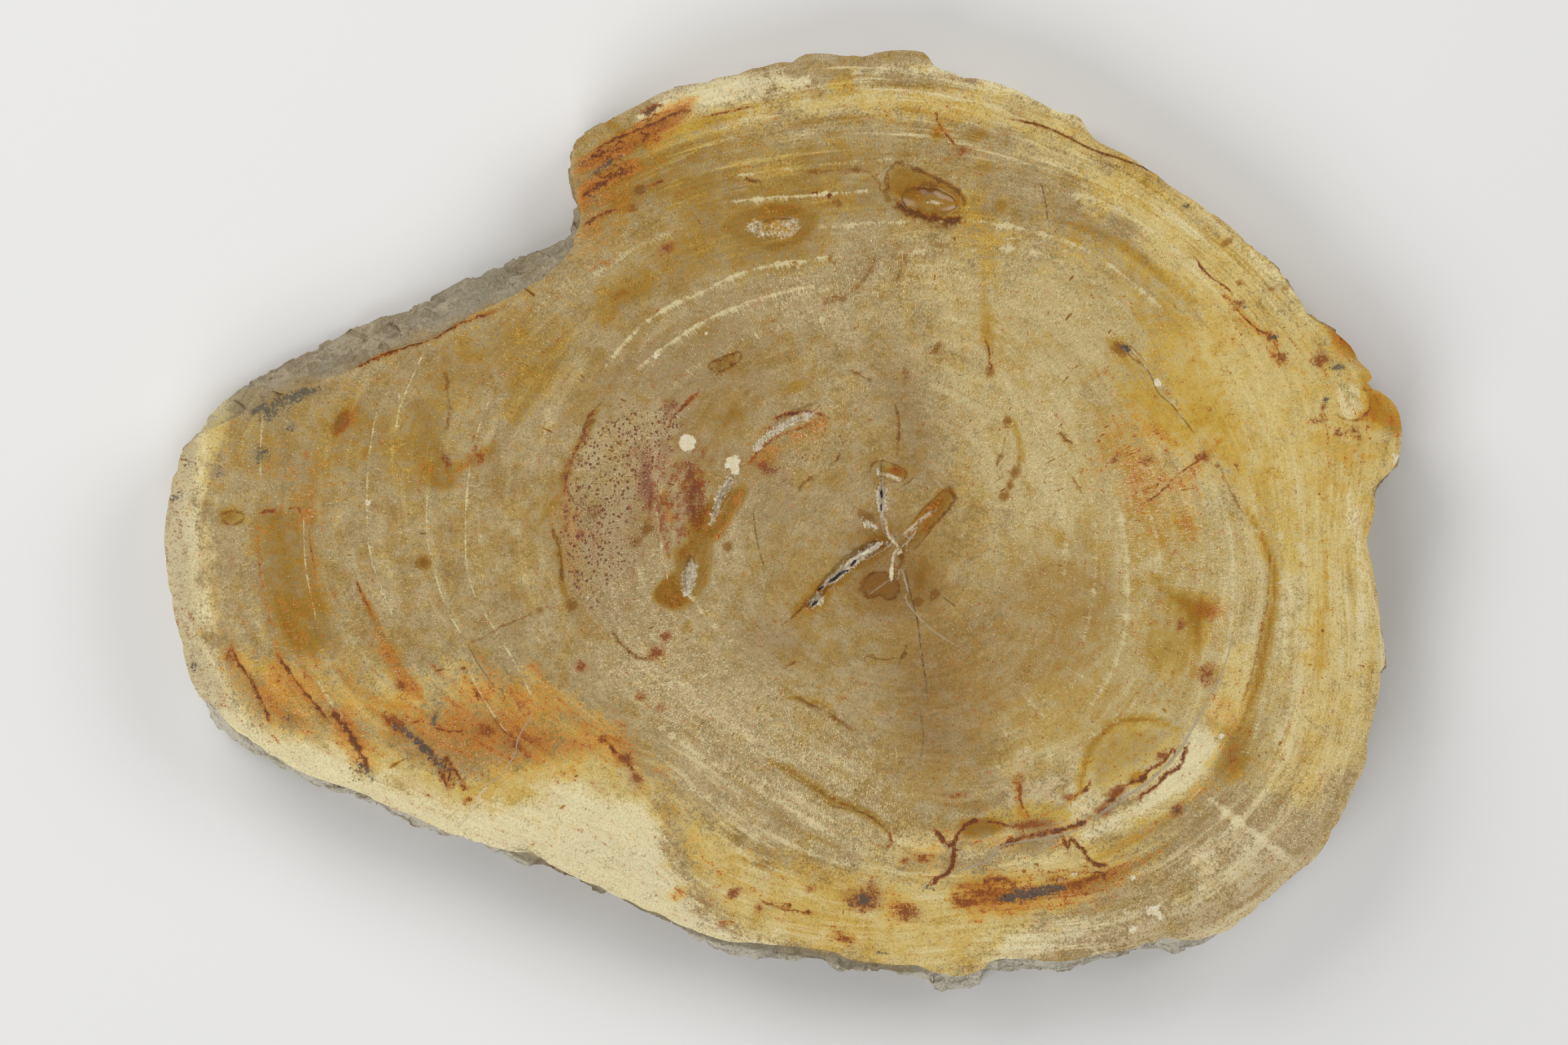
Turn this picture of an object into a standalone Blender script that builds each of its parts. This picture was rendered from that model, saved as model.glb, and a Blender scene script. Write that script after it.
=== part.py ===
"""A slice of petrified wood, lying on its sawn back with its polished face up.

The log was sawn across the grain, so both faces are flat and the wall between them is bare, broken stone.
The frame is +Z up, +X along the slice's long side, and the origin is under the middle of its box.
"""

import math

import bmesh
import bpy
from mathutils import Matrix, Vector, noise

MM = 0.001

# Driving dimensions.
THICKNESS = 20.0 * MM
POINTS_AROUND = 440
PITH = Vector((21.0, -4.0, 0.0)) * MM

# The levels of the wall, in shares of the thickness below the polished face.
WALL_DEPTHS = (0.0, 0.06, 0.17, 0.31, 0.46, 0.62, 0.78, 0.93, 1.0)
WIDE_RIM = 5.0 * MM
RIM_FOOT = 0.7
BACK_EDGE_START = 0.75
BACK_EDGE_TUCK = 1.6 * MM
FACE_EDGE_DEPTH = 0.2

# The broken stone of the wall, measured back from the smooth wall.
LUMP_SIZE = 13.0 * MM
LUMP_DEPTH = 4.5 * MM
LEDGE_SPACING = 8.5 * MM
LEDGE_WANDER = 14.0 * MM
LEDGE_DEPTH = 1.8 * MM
GRAIN_SIZE = 3.6 * MM
GRAIN_DEPTH = 1.5 * MM
GRAIN_STRETCH = 0.25
FACE_EDGE_CHIP_SIZE = 2.8 * MM
FACE_EDGE_CHIP_DEPTH = 0.7 * MM

# The outside of the slice seen from above, clockwise from the left end, in millimetres. Each point is x, y and
# the width of bare wall that shows there beside the polished face.
LEFT_END = [
    (-120.0, -2.0, 0.5), (-119.0, 6.5, 0.5), (-117.5, 11.0, 0.5), (-116.0, 15.5, 0.8), (-112.5, 19.5, 3.3),
]
SLOPING_BREAK = [
    (-110.0, 23.0, 5.9), (-106.0, 26.5, 6.4), (-99.5, 30.0, 6.9), (-93.5, 33.0, 7.7), (-87.0, 36.5, 7.6),
    (-80.5, 39.5, 8.1), (-74.0, 41.5, 7.2), (-67.5, 44.5, 7.1), (-61.0, 48.0, 7.7), (-54.0, 51.0, 6.4),
    (-49.0, 53.0, 5.4), (-44.5, 55.0, 4.1),
]
NOTCH = [
    (-42.0, 57.0, 2.3), (-41.0, 59.5, 1.8), (-41.0, 62.0, 1.4), (-42.0, 65.0, 1.7), (-42.0, 70.5, 0.9),
    (-41.0, 74.0, 0.9), (-40.0, 75.0, 0.9),
]
TOP = [
    (-35.5, 78.0, 1.0), (-29.0, 81.0, 0.8), (-22.5, 84.0, 0.6), (-10.0, 87.0, 0.5), (-3.5, 89.0, 0.6),
    (1.5, 89.5, 0.4), (5.0, 91.0, 0.5), (15.0, 90.5, 0.4), (17.5, 91.5, 0.5), (26.5, 91.5, 0.6),
    (29.0, 89.0, 0.5), (34.5, 86.5, 0.4), (41.5, 85.5, 0.5), (48.5, 82.0, 0.4), (53.5, 79.5, 0.4),
    (57.0, 79.0, 0.5), (58.5, 76.5, 0.4), (60.5, 74.0, 0.4),
]
UPPER_RIGHT = [
    (67.5, 70.5, 0.4), (80.0, 62.0, 0.4), (86.5, 57.5, 0.5), (90.0, 54.0, 0.5), (95.5, 50.5, 1.2),
    (98.5, 46.5, 1.3), (100.0, 43.0, 0.4), (103.0, 40.0, 1.3), (106.5, 38.0, 1.2), (110.0, 34.0, 0.5),
]
SHOULDER = [
    (111.0, 31.5, 0.4), (113.5, 29.5, 0.6), (114.0, 28.0, 0.6), (113.0, 26.5, 0.4), (116.0, 25.0, 0.5),
    (119.0, 22.0, 0.6), (120.0, 15.5, 0.8), (119.5, 11.0, 1.5), (117.0, 8.0, 1.8), (115.0, 5.5, 1.0),
]
RIGHT_SIDE = [
    (114.5, 2.5, 0.5), (113.0, -3.5, 0.4), (114.0, -8.5, 0.4), (115.5, -17.5, 0.5), (117.0, -27.0, 1.0),
    (116.0, -30.0, 0.8), (115.0, -34.0, 0.4), (113.0, -42.0, 0.4), (112.5, -47.0, 0.4), (108.5, -56.0, 0.6),
    (103.0, -65.0, 0.4), (99.0, -68.0, 0.4), (90.0, -76.0, 0.4), (86.5, -79.0, 0.6),
]
LOWER_BREAK = [
    (84.0, -81.0, 1.8), (80.0, -83.0, 2.8), (75.5, -84.0, 4.1), (72.0, -83.5, 2.3), (61.0, -85.5, 1.9),
    (54.0, -87.5, 3.0), (41.5, -87.5, 3.1), (40.0, -87.0, 1.3), (39.0, -88.0, 1.9), (37.5, -90.5, 3.6),
    (33.5, -91.5, 3.9), (29.0, -91.0, 4.1), (26.0, -89.0, 3.1), (16.0, -87.5, 2.6), (10.5, -87.5, 3.7),
    (7.5, -86.0, 3.5), (-3.5, -85.5, 4.1), (-10.0, -84.5, 3.5), (-16.0, -82.0, 2.6), (-21.5, -79.0, 1.8),
]
LOWER_LEFT = [
    (-29.0, -75.0, 1.2), (-35.0, -72.5, 1.4), (-42.0, -69.5, 1.7), (-47.5, -67.0, 1.8), (-49.0, -67.5, 3.2),
    (-52.5, -66.5, 3.6), (-55.0, -65.0, 2.2), (-61.0, -62.0, 0.8), (-67.5, -60.5, 1.4), (-74.0, -58.5, 2.6),
    (-75.5, -57.5, 2.4), (-80.5, -54.5, 1.3), (-84.5, -53.5, 2.2), (-93.5, -50.0, 1.9), (-99.5, -47.0, 1.9),
    (-106.0, -44.0, 3.1), (-111.0, -39.0, 3.1), (-112.5, -35.5, 2.1), (-114.0, -33.0, 0.6),
    (-116.5, -24.5, 0.4), (-119.0, -13.5, 0.5), (-120.0, -6.0, 0.6),
]
OUTLINE = LEFT_END + SLOPING_BREAK + NOTCH + TOP + UPPER_RIGHT + SHOULDER + RIGHT_SIDE + LOWER_BREAK + LOWER_LEFT
SPLINE_STEPS = 8

# Open hollows in the polished face, in millimetres: middle x and y, half length, half width, depth, and the turn
# of their length from +X in degrees.
HOLLOWS = {
    "heart_check_long": (8.5, -11.5, 6.5, 1.0, 2.4, 52),
    "heart_check_middle": (14.5, -5.5, 4.0, 0.6, 1.6, 30),
    "heart_check_upper": (19.0, 7.5, 5.0, 0.6, 1.6, 88),
    "knot_bowl": (28.0, 62.0, 5.6, 2.6, 1.2, -9),
    "chalcedony_pit": (-1.4, 56.8, 4.6, 2.0, 0.8, 8),
    "crystal_seam_upper": (2.6, 20.8, 5.0, 1.0, 1.0, 25),
    "crystal_seam_middle": (-11.5, 5.0, 4.4, 0.9, 1.0, 62),
    "crystal_seam_lower": (-18.2, -10.0, 3.8, 1.1, 1.2, 82),
    "cream_crack_pit": (68.0, 32.0, 3.0, 0.9, 0.9, -48),
}
HOLLOW_ROUNDNESS = 3
HOLLOW_LIFT = 0.05 * MM
HOLLOW_RAGGEDNESS = 0.16
HOLLOW_RAG_SIZE = 2.2 * MM

STONE_COLOUR = (0.45, 0.31, 0.11, 1.0)
STONE_ROUGHNESS = 0.35
SHARP_ANGLE = math.radians(38)


def clear_scene():
    for leftover in list(bpy.data.objects):
        bpy.data.objects.remove(leftover)


def ease(share):
    """Runs smoothly from 0 to 1 as share does."""
    share = min(max(share, 0.0), 1.0)
    return share * share * (3.0 - 2.0 * share)


def spline_point(before, start, end, after, share):
    """A point of the smooth curve from start to end, whose neighbours are before and after."""
    return 0.5 * (
        2.0 * start
        + (end - before) * share
        + (2.0 * before - 5.0 * start + 4.0 * end - after) * share**2
        + (3.0 * start - before - 3.0 * end + after) * share**3
    )


def closed_spline(points, steps):
    """A smooth closed curve through the points, with this many steps from each point to the next."""
    count = len(points)
    return [
        spline_point(points[i - 1], points[i], points[(i + 1) % count], points[(i + 2) % count], step / steps)
        for i in range(count)
        for step in range(steps)
    ]


def evenly_spaced(curve, count):
    """This many points at even distances in x and y along a closed curve."""
    lengths = [(curve[(i + 1) % len(curve)] - curve[i]).xy.length for i in range(len(curve))]
    spacing = sum(lengths) / count
    found = []
    travelled = 0.0
    i = 0
    for n in range(count):
        while travelled + lengths[i] < n * spacing:
            travelled += lengths[i]
            i += 1
        share = (n * spacing - travelled) / lengths[i]
        found.append(curve[i].lerp(curve[(i + 1) % len(curve)], share))
    return found


def rough_stone(place):
    """How far the broken stone lies back here: big lumps, slanting ledges, and ridges that run with the grain."""
    lumps = 0.5 + 0.5 * noise.noise(place / LUMP_SIZE)
    wander = LEDGE_WANDER * noise.noise(Vector((place.x, place.y, 0.0)) / (2.0 * LUMP_SIZE))
    ledge = ((place.z + wander) / LEDGE_SPACING) % 1.0
    grain = abs(noise.noise(Vector((place.x, place.y, GRAIN_STRETCH * place.z)) / GRAIN_SIZE))
    return LUMP_DEPTH * lumps + LEDGE_DEPTH * ledge + GRAIN_DEPTH * grain


def smooth_wall(rim, depth):
    """How far the wall without its roughness lies back from the outline at this depth."""
    width = min(rim / WIDE_RIM, 1.0)
    down = min(depth / RIM_FOOT, 1.0)
    slope = ease(down) * (1.0 - width) + down * width
    tuck = BACK_EDGE_TUCK * ease((depth - BACK_EDGE_START) / (1.0 - BACK_EDGE_START))
    return rim * (1.0 - slope) + tuck


def wall_column(outer, slant):
    """The wall's points from the polished face down to the back. outer holds x, y and, as z, the rim's width.

    slant is how squarely the spoke from the pith meets the outline. The most forward point lies on the outline.
    """
    foot = Vector((outer.x, outer.y, 0.0))
    spoke = (foot - PITH).normalized() / slant
    heights = [Vector((0.0, 0.0, THICKNESS * (1.0 - depth))) for depth in WALL_DEPTHS]
    back = [smooth_wall(outer.z, depth) + rough_stone(foot + height) for depth, height in zip(WALL_DEPTHS, heights)]
    forward = min(back[2:])
    face_edge = outer.z + FACE_EDGE_CHIP_DEPTH * max(0.0, noise.noise(foot / FACE_EDGE_CHIP_SIZE))
    column = []
    for depth, height, behind in zip(WALL_DEPTHS, heights, back):
        below_face = ease(depth / FACE_EDGE_DEPTH)
        behind = face_edge + (behind - forward - face_edge) * below_face
        column.append(foot - spoke * behind + height)
    return column


def spoke_slants(points):
    """How squarely the spoke from the pith meets the outline at each point, from 0.5 to 1."""
    slants = []
    for i, point in enumerate(points):
        along = (points[(i + 4) % len(points)] - points[i - 4]).xy.normalized()
        spoke = (point - PITH).xy.normalized()
        slants.append(max(0.5, abs(spoke.cross(along))))
    return slants


def build_slab():
    """The back face, the wall pulled up from it level by level, and the polished face on top."""
    outer = evenly_spaced(closed_spline([Vector(point) * MM for point in OUTLINE], SPLINE_STEPS), POINTS_AROUND)
    columns = [wall_column(point, slant) for point, slant in zip(outer, spoke_slants(outer))]
    slab = bmesh.new()
    around = slab.verts.layers.int.new("around")
    for i, column in enumerate(columns):
        slab.verts.new(column[-1])[around] = i
    edges = list(slab.faces.new(slab.verts).edges)
    for level in reversed(range(len(WALL_DEPTHS) - 1)):
        pulled = bmesh.ops.extrude_edge_only(slab, edges=edges)["geom"]
        edges = [piece for piece in pulled if isinstance(piece, bmesh.types.BMEdge)]
        for vert in [piece for piece in pulled if isinstance(piece, bmesh.types.BMVert)]:
            vert.co = columns[vert[around]][level]
    bmesh.ops.contextual_create(slab, geom=edges)
    bmesh.ops.recalc_face_normals(slab, faces=slab.faces)
    return slab


def stone_material():
    material = bpy.data.materials.new("petrified_wood")
    material.use_nodes = True
    shader = material.node_tree.nodes["Principled BSDF"]
    shader.inputs["Base Color"].default_value = STONE_COLOUR
    shader.inputs["Roughness"].default_value = STONE_ROUGHNESS
    shader.inputs["Metallic"].default_value = 0.0
    return material


def add_object(name, shape):
    mesh = bpy.data.meshes.new(name)
    shape.to_mesh(mesh)
    shape.free()
    made = bpy.data.objects.new(name, mesh)
    bpy.context.collection.objects.link(made)
    return made


def hollow_cutter(name, middle_x, middle_y, half_length, half_width, depth, turn):
    """A ragged lens that takes one hollow out of the polished face."""
    lens = bmesh.new()
    bmesh.ops.create_icosphere(lens, subdivisions=HOLLOW_ROUNDNESS, radius=1.0)
    place = (
        Matrix.Translation((middle_x * MM, middle_y * MM, THICKNESS + HOLLOW_LIFT))
        @ Matrix.Rotation(math.radians(turn), 4, "Z")
        @ Matrix.Diagonal((half_length * MM, half_width * MM, depth * MM, 1.0))
    )
    for vert in lens.verts:
        rag = noise.noise(place @ vert.co / HOLLOW_RAG_SIZE)
        vert.co = place @ (vert.co * (1.0 + HOLLOW_RAGGEDNESS * rag))
    cutter = add_object(name + "_cutter", lens)
    cutter.hide_render = True
    cutter.display_type = "WIRE"
    return cutter


def cut(body, cutter):
    hollow = body.modifiers.new(cutter.name, "BOOLEAN")
    hollow.operation = "DIFFERENCE"
    hollow.solver = "EXACT"
    hollow.object = cutter


def main():
    clear_scene()
    slice_body = add_object("petrified_wood_slice", build_slab())
    slice_body.data.materials.append(stone_material())
    slice_body.data.shade_smooth()
    slice_body.data.set_sharp_from_angle(angle=SHARP_ANGLE)
    for name, sizes in HOLLOWS.items():
        cut(slice_body, hollow_cutter(name, *sizes))


main()
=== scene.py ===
# %% [markdown]
# # A slice of petrified wood
#
# A log that turned to stone was sawn across its grain and the cut was polished. What has to be made is
# one stone with three skins: the polished face with its growth rings, stains and crystal-lined cracks,
# the bare broken wall, and the matte sawn back. The shape comes from the packed model. This script gives
# the stone its fine surface and its colours, and it needs nothing but that model.

# %% Load the packed model
import math

import bmesh
import bpy
import numpy as np
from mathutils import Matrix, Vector, noise


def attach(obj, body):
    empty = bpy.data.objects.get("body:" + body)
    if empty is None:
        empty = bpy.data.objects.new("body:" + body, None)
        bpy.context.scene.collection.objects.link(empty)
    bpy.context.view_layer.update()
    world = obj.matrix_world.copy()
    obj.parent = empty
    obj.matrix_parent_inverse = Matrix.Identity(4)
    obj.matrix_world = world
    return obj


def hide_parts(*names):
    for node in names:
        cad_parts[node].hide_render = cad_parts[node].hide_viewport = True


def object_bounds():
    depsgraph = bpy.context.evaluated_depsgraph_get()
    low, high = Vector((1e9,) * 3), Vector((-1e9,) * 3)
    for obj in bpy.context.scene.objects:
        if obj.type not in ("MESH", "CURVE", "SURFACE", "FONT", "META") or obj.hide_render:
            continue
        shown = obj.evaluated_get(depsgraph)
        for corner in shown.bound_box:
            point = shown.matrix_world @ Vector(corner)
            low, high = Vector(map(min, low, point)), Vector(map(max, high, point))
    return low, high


MM = 0.001
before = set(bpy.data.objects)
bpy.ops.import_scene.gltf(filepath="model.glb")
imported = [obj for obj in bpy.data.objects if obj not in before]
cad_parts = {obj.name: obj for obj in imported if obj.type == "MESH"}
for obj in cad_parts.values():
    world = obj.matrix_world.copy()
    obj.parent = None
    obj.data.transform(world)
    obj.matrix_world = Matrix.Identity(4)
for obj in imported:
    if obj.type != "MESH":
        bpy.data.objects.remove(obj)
CAD_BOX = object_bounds()
LOW, HIGH = CAD_BOX
THICKNESS = HIGH.z
print("packed slab, mm:", [round(size / MM, 1) for size in HIGH - LOW])

# %% [markdown]
# ## From the photograph to the stone
#
# The photograph looks straight down on the polished face, so a place in it is a place on the stone after
# one shift and one scale. The scale comes from the packed slab's own width. Every marking below was read
# off in pixels of the 2352 x 1568 photograph, and this helper turns those places into millimetres.

# %% Photograph scale
PHOTO_SIZE = np.array((2352.0, 1568.0))
SLAB_LEFT, SLAB_RIGHT = 242, 2109
MM_PER_PIXEL = (HIGH.x - LOW.x) / MM / (SLAB_RIGHT - SLAB_LEFT)
PITH_PIXEL = (1340, 815)


def on_stone(pixels):
    """Pixel places of the photograph as x, y in millimetres on the stone."""
    return (np.array(pixels, dtype=float) - PHOTO_SIZE / 2) * (MM_PER_PIXEL, -MM_PER_PIXEL)


PITH = on_stone(PITH_PIXEL)
print("one pixel is", round(MM_PER_PIXEL, 4), "mm and the pith is at", PITH.round(1))

# %% [markdown]
# ## The broken wall
#
# Between the faces the stone is bare and rough. The packed slab has its lumps and ledges already, so the
# wall starts as a merged copy of it. Its two flat faces and the hollows are taken off and made again
# finer below. What is left is a ring of wall, which is subdivided and then chipped by noise. The chips
# only ever go inwards, so the stone never outgrows the packed one.

# %% Wall from the packed slab
MERGE_DISTANCE = 0.01 * MM
FLAT = 0.02 * MM
WALL_CUTS = 2
POLISHED, BROKEN, SAWN = 0, 1, 2

stone = bmesh.new()
stone.from_mesh(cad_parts["petrified_wood_slice"].data)
bmesh.ops.remove_doubles(stone, verts=stone.verts, dist=MERGE_DISTANCE)


def all_at(face, height):
    return all(abs(vert.co.z - height) < FLAT for vert in face.verts)


def linked_to(start):
    """Every vertex that edges join to this one."""
    found = {start}
    waiting = [start]
    while waiting:
        for edge in waiting.pop().link_edges:
            for vert in edge.verts:
                if vert not in found:
                    found.add(vert)
                    waiting.append(vert)
    return found


flats = [face for face in stone.faces if all_at(face, THICKNESS) or all_at(face, 0.0)]
bmesh.ops.delete(stone, geom=flats, context="FACES")
wall_verts = linked_to(min(stone.verts, key=lambda vert: vert.co.x))
hollow_verts = [vert for vert in stone.verts if vert not in wall_verts]
bmesh.ops.delete(stone, geom=hollow_verts, context="VERTS")
print("wall ring:", len(stone.faces), "faces after", len(hollow_verts), "hollow points were taken off")

# %% Chipped and grainy stone
FACET_SIZE = 3.6 * MM
FACET_DEPTH = 1.0 * MM
FACET_LEAN = 0.9
FACET_STRETCH = 0.6
GRIT_SIZE = 0.8 * MM
GRIT_DEPTH = 0.3 * MM
CELL_SHUFFLE = 17.3
CELL_MIDDLE = Vector((0.5, 0.5, 0.5))


def facet_depth(place):
    """How deep one flat chip lies here. Each chip has its own depth and leans its own way."""
    stretched = Vector((place.x, place.y, FACET_STRETCH * place.z)) / FACET_SIZE
    middle = noise.voronoi(stretched)[1][0]
    lean = noise.cell_vector(middle * CELL_SHUFFLE) - CELL_MIDDLE
    return FACET_DEPTH * max(0.0, 0.5 + lean.z + FACET_LEAN * (stretched - middle).dot(lean))


bmesh.ops.subdivide_edges(stone, edges=stone.edges, cuts=WALL_CUTS, use_grid_fill=True)
stone.normal_update()
for vert in stone.verts:
    if not vert.is_boundary:
        grit = 0.5 + 0.5 * noise.noise(vert.co / GRIT_SIZE)
        inward = -Vector((vert.normal.x, vert.normal.y, 0.0))
        vert.co += inward * (facet_depth(vert.co) + GRIT_DEPTH * grit)
for face in stone.faces:
    face.material_index = BROKEN
print("chipped wall:", len(stone.faces), "faces")

# %% [markdown]
# ## The two sawn faces
#
# Each face is one flat sheet, but its markings are held point by point, so it needs many points. The ring
# of edges at the top of the wall is filled with a single face, which is then cut like a chessboard: first
# into strips across, and then every strip crosswise. The cuts share their points with the wall, so the
# stone stays closed.

# %% Fill and cut a face
FACE_CELL = 0.85 * MM
BACK_CELL = 3.2 * MM
CUT_TOLERANCE = FLAT / 4


def unique(parts):
    """The parts without repeats, in the order that they come in. A set would shuffle them in each run."""
    return list(dict.fromkeys(parts))


def cut_once(faces, axis, place):
    """Cuts the faces where the axis has this value, and returns those beyond the cut."""
    edges = unique(edge for face in faces for edge in face.edges)
    verts = unique(vert for face in faces for vert in face.verts)
    where = Vector((0.0, 0.0, 0.0))
    where[axis] = place
    direction = Vector((0.0, 0.0, 0.0))
    direction[axis] = 1.0
    geometry = list(faces) + edges + verts
    cut = bmesh.ops.bisect_plane(
        stone, geom=geometry, dist=CUT_TOLERANCE, plane_co=where, plane_no=direction)
    parts = [part for part in cut["geom"] if isinstance(part, bmesh.types.BMFace)]
    return [face for face in parts if face.calc_center_median()[axis] > place]


def fill_face(height, material, cell):
    """Closes the wall's ring at this height and cuts the new face into cells."""
    ring = [edge for edge in stone.edges if edge.is_boundary and abs(edge.verts[0].co.z - height) < FLAT]
    sheet = bmesh.ops.contextual_create(stone, geom=ring)["faces"]
    for face in sheet:
        face.material_index = material
        face.normal_update()
        if (face.normal.z > 0) != (height > 0):
            face.normal_flip()
    for axis in (0, 1):
        count = int((HIGH[axis] - LOW[axis]) / cell) + 1
        pending = sheet if axis == 0 else [face for face in stone.faces if face.material_index == material]
        for step in range(1, count):
            pending = cut_once(pending, axis, LOW[axis] + step * (HIGH[axis] - LOW[axis]) / count)
    made = [face for face in stone.faces if face.material_index == material]
    print("face at", round(height / MM, 1), "mm:", len(ring), "edges round it,", len(made), "cells")
    return made


fill_face(0.0, SAWN, BACK_CELL)
face_cells = fill_face(THICKNESS, POLISHED, FACE_CELL)

# %% [markdown]
# ## Distances to what is drawn on the stone
#
# A marking is a line, an area or a spot. For each of them, one helper measures how far every point of the
# stone is from it. numpy does that for all points at once, and only for those in reach, so hundreds of
# markings take a few seconds.

# %% Smooth curves through chosen points
CURVE_STEPS = 5


def smooth_curve(points, closed=False):
    """A smooth curve through the points, in the same unit."""
    points = np.asarray(points, dtype=float)
    if closed:
        padded = np.vstack((points[-1:], points, points[:2]))
    else:
        padded = np.vstack((2 * points[0] - points[1], points, 2 * points[-1] - points[-2]))
    share = np.linspace(0.0, 1.0, CURVE_STEPS, endpoint=False)[:, None]
    runs = []
    for before, start, end, after in zip(padded, padded[1:], padded[2:], padded[3:]):
        bend = 2 * before - 5 * start + 4 * end - after
        turn = 3 * start - before - 3 * end + after
        runs.append(0.5 * (2 * start + (end - before) * share + bend * share**2 + turn * share**3))
    if not closed:
        runs.append(points[-1:])
    return np.vstack(runs)


print("a curve through 3 points has", len(smooth_curve([(0, 0), (1, 1), (2, 0)])), "points")


# %% Distance to a line, an area or a spot
def line_distance(places, curve, centre=None):
    """Each place's distance from the curve, its side of it, and how far along the curve it is, from 0 to 1.
    The side is 1 to the curve's left, or away from the centre if there is one, and -1 on the other side."""
    nearest = np.full(len(places), np.inf)
    side = np.ones(len(places))
    along = np.zeros(len(places))
    steps = curve[1:] - curve[:-1]
    lengths = np.hypot(steps[:, 0], steps[:, 1])
    travelled = np.concatenate(((0.0,), np.cumsum(lengths)))
    for start, step, length, before in zip(curve, steps, lengths, travelled):
        offset = places - start
        share = np.clip(offset @ step / length**2, 0.0, 1.0)
        gap = offset - share[:, None] * step
        distance = np.hypot(gap[:, 0], gap[:, 1])
        closer = distance < nearest
        nearest[closer] = distance[closer]
        left = (-step[1], step[0]) if centre is None else start - centre
        side[closer] = np.sign(offset[closer] @ left)
        along[closer] = (before + share[closer] * length) / travelled[-1]
    return nearest, side, along


def area_distance(places, outline):
    """Distance of each place from the closed outline, above 0 inside it."""
    closed = np.vstack((outline, outline[:1]))
    nearest = line_distance(places, closed)[0]
    inside = np.zeros(len(places), dtype=bool)
    for start, end in zip(closed[:-1], closed[1:]):
        spans = (start[1] > places[:, 1]) != (end[1] > places[:, 1])
        slope = (end[0] - start[0]) / (end[1] - start[1]) if end[1] != start[1] else 0.0
        inside ^= spans & (places[:, 0] < start[0] + slope * (places[:, 1] - start[1]))
    return np.where(inside, nearest, -nearest)


def in_reach(places, curve, reach):
    """The places inside the curve's box, grown by this much."""
    low = curve.min(axis=0) - reach
    high = curve.max(axis=0) + reach
    return np.flatnonzero(np.all((places > low) & (places < high), axis=1))


square = np.array(((0.0, 0.0), (1.0, 0.0), (1.0, 1.0), (0.0, 1.0)))
middle_of_it = np.array(((0.5, 0.5),))
print("a square's middle lies", area_distance(middle_of_it, square)[0], "of a side inside its edge")


# %% [markdown]
# ## Cracks and hollows
#
# The pith dried out and split before the wood turned to stone, and quartz lined the splits but didn't
# fill them. They are real hollows, so they are pressed into the mesh, and the black in the deepest
# cracks is painted shade. The face gets smaller cells round them first, because a crack is narrower
# than a cell of the chessboard. The large hollows stand where the packed slab has them.

# %% Where the hollows are
# Middle x and y, half length, half width and depth in millimetres, and the turn from +X in degrees.
HOLLOWS = {
    "heart_check_long": (8.5, -11.5, 6.5, 1.0, 1.5, 52),
    "heart_check_middle": (14.5, -5.5, 4.0, 0.6, 1.6, 30),
    "heart_check_upper": (19.0, 7.5, 5.0, 0.6, 1.1, 88),
    "knot_bowl": (28.0, 62.0, 5.6, 2.6, 1.2, -9),
    "chalcedony_pit": (-1.4, 56.8, 4.6, 2.0, 0.8, 8),
    "crystal_seam_upper": (2.6, 20.8, 5.0, 1.0, 1.0, 25),
    "crystal_seam_middle": (-11.5, 5.0, 4.4, 0.9, 1.0, 62),
    "crystal_seam_lower": (-18.2, -10.0, 3.8, 1.1, 1.2, 82),
    "cream_crack_pit": (68.0, 32.0, 3.0, 0.9, 0.9, -48),
}
# Narrow grooves: half width and depth in millimetres, and their route in pixels.
GROOVES = [
    (0.35, 0.5, [(1345, 805), (1320, 825), (1290, 840), (1265, 855)]),
    (0.25, 0.4, [(1319, 709), (1323, 740), (1323, 775), (1331, 800), (1345, 812)]),
    (0.25, 0.3, [(1310, 710), (1330, 713), (1353, 721)]),
    (0.18, 0.25, [(1347, 812), (1380, 784), (1399, 768), (1422, 748)]),
    (0.16, 0.25, [(1355, 845), (1360, 865), (1368, 900), (1376, 930), (1383, 985), (1393, 1060)]),
    (0.16, 0.2, [(1808, 1065), (1790, 1105), (1760, 1140), (1720, 1170), (1690, 1190), (1650, 1212),
        (1620, 1240), (1580, 1252), (1530, 1262), (1490, 1275)]),
    (0.14, 0.2, [(1700, 535), (1722, 556), (1760, 600), (1795, 655)]),
]
# All in millimetres, but for how quickly a groove narrows towards its ends.
HOLLOW_REACH = 1.0
GROOVE_TAPER = 0.4
RAG_SIZE = 1.6
RAG_AMOUNT = 0.3
# Vector noise starts from the clock unless it is given a seed, and then no two runs would be alike.
RAG_SEED = 7
noise.seed_set(RAG_SEED)


def ragged(places):
    """Shifts places by a little noise, so that an edge drawn through them looks broken."""
    shifts = [noise.noise_vector(Vector((x, y, 0.0)) / RAG_SIZE) for x, y in places]
    return places + RAG_AMOUNT * np.array([shift.xy for shift in shifts])


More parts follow.
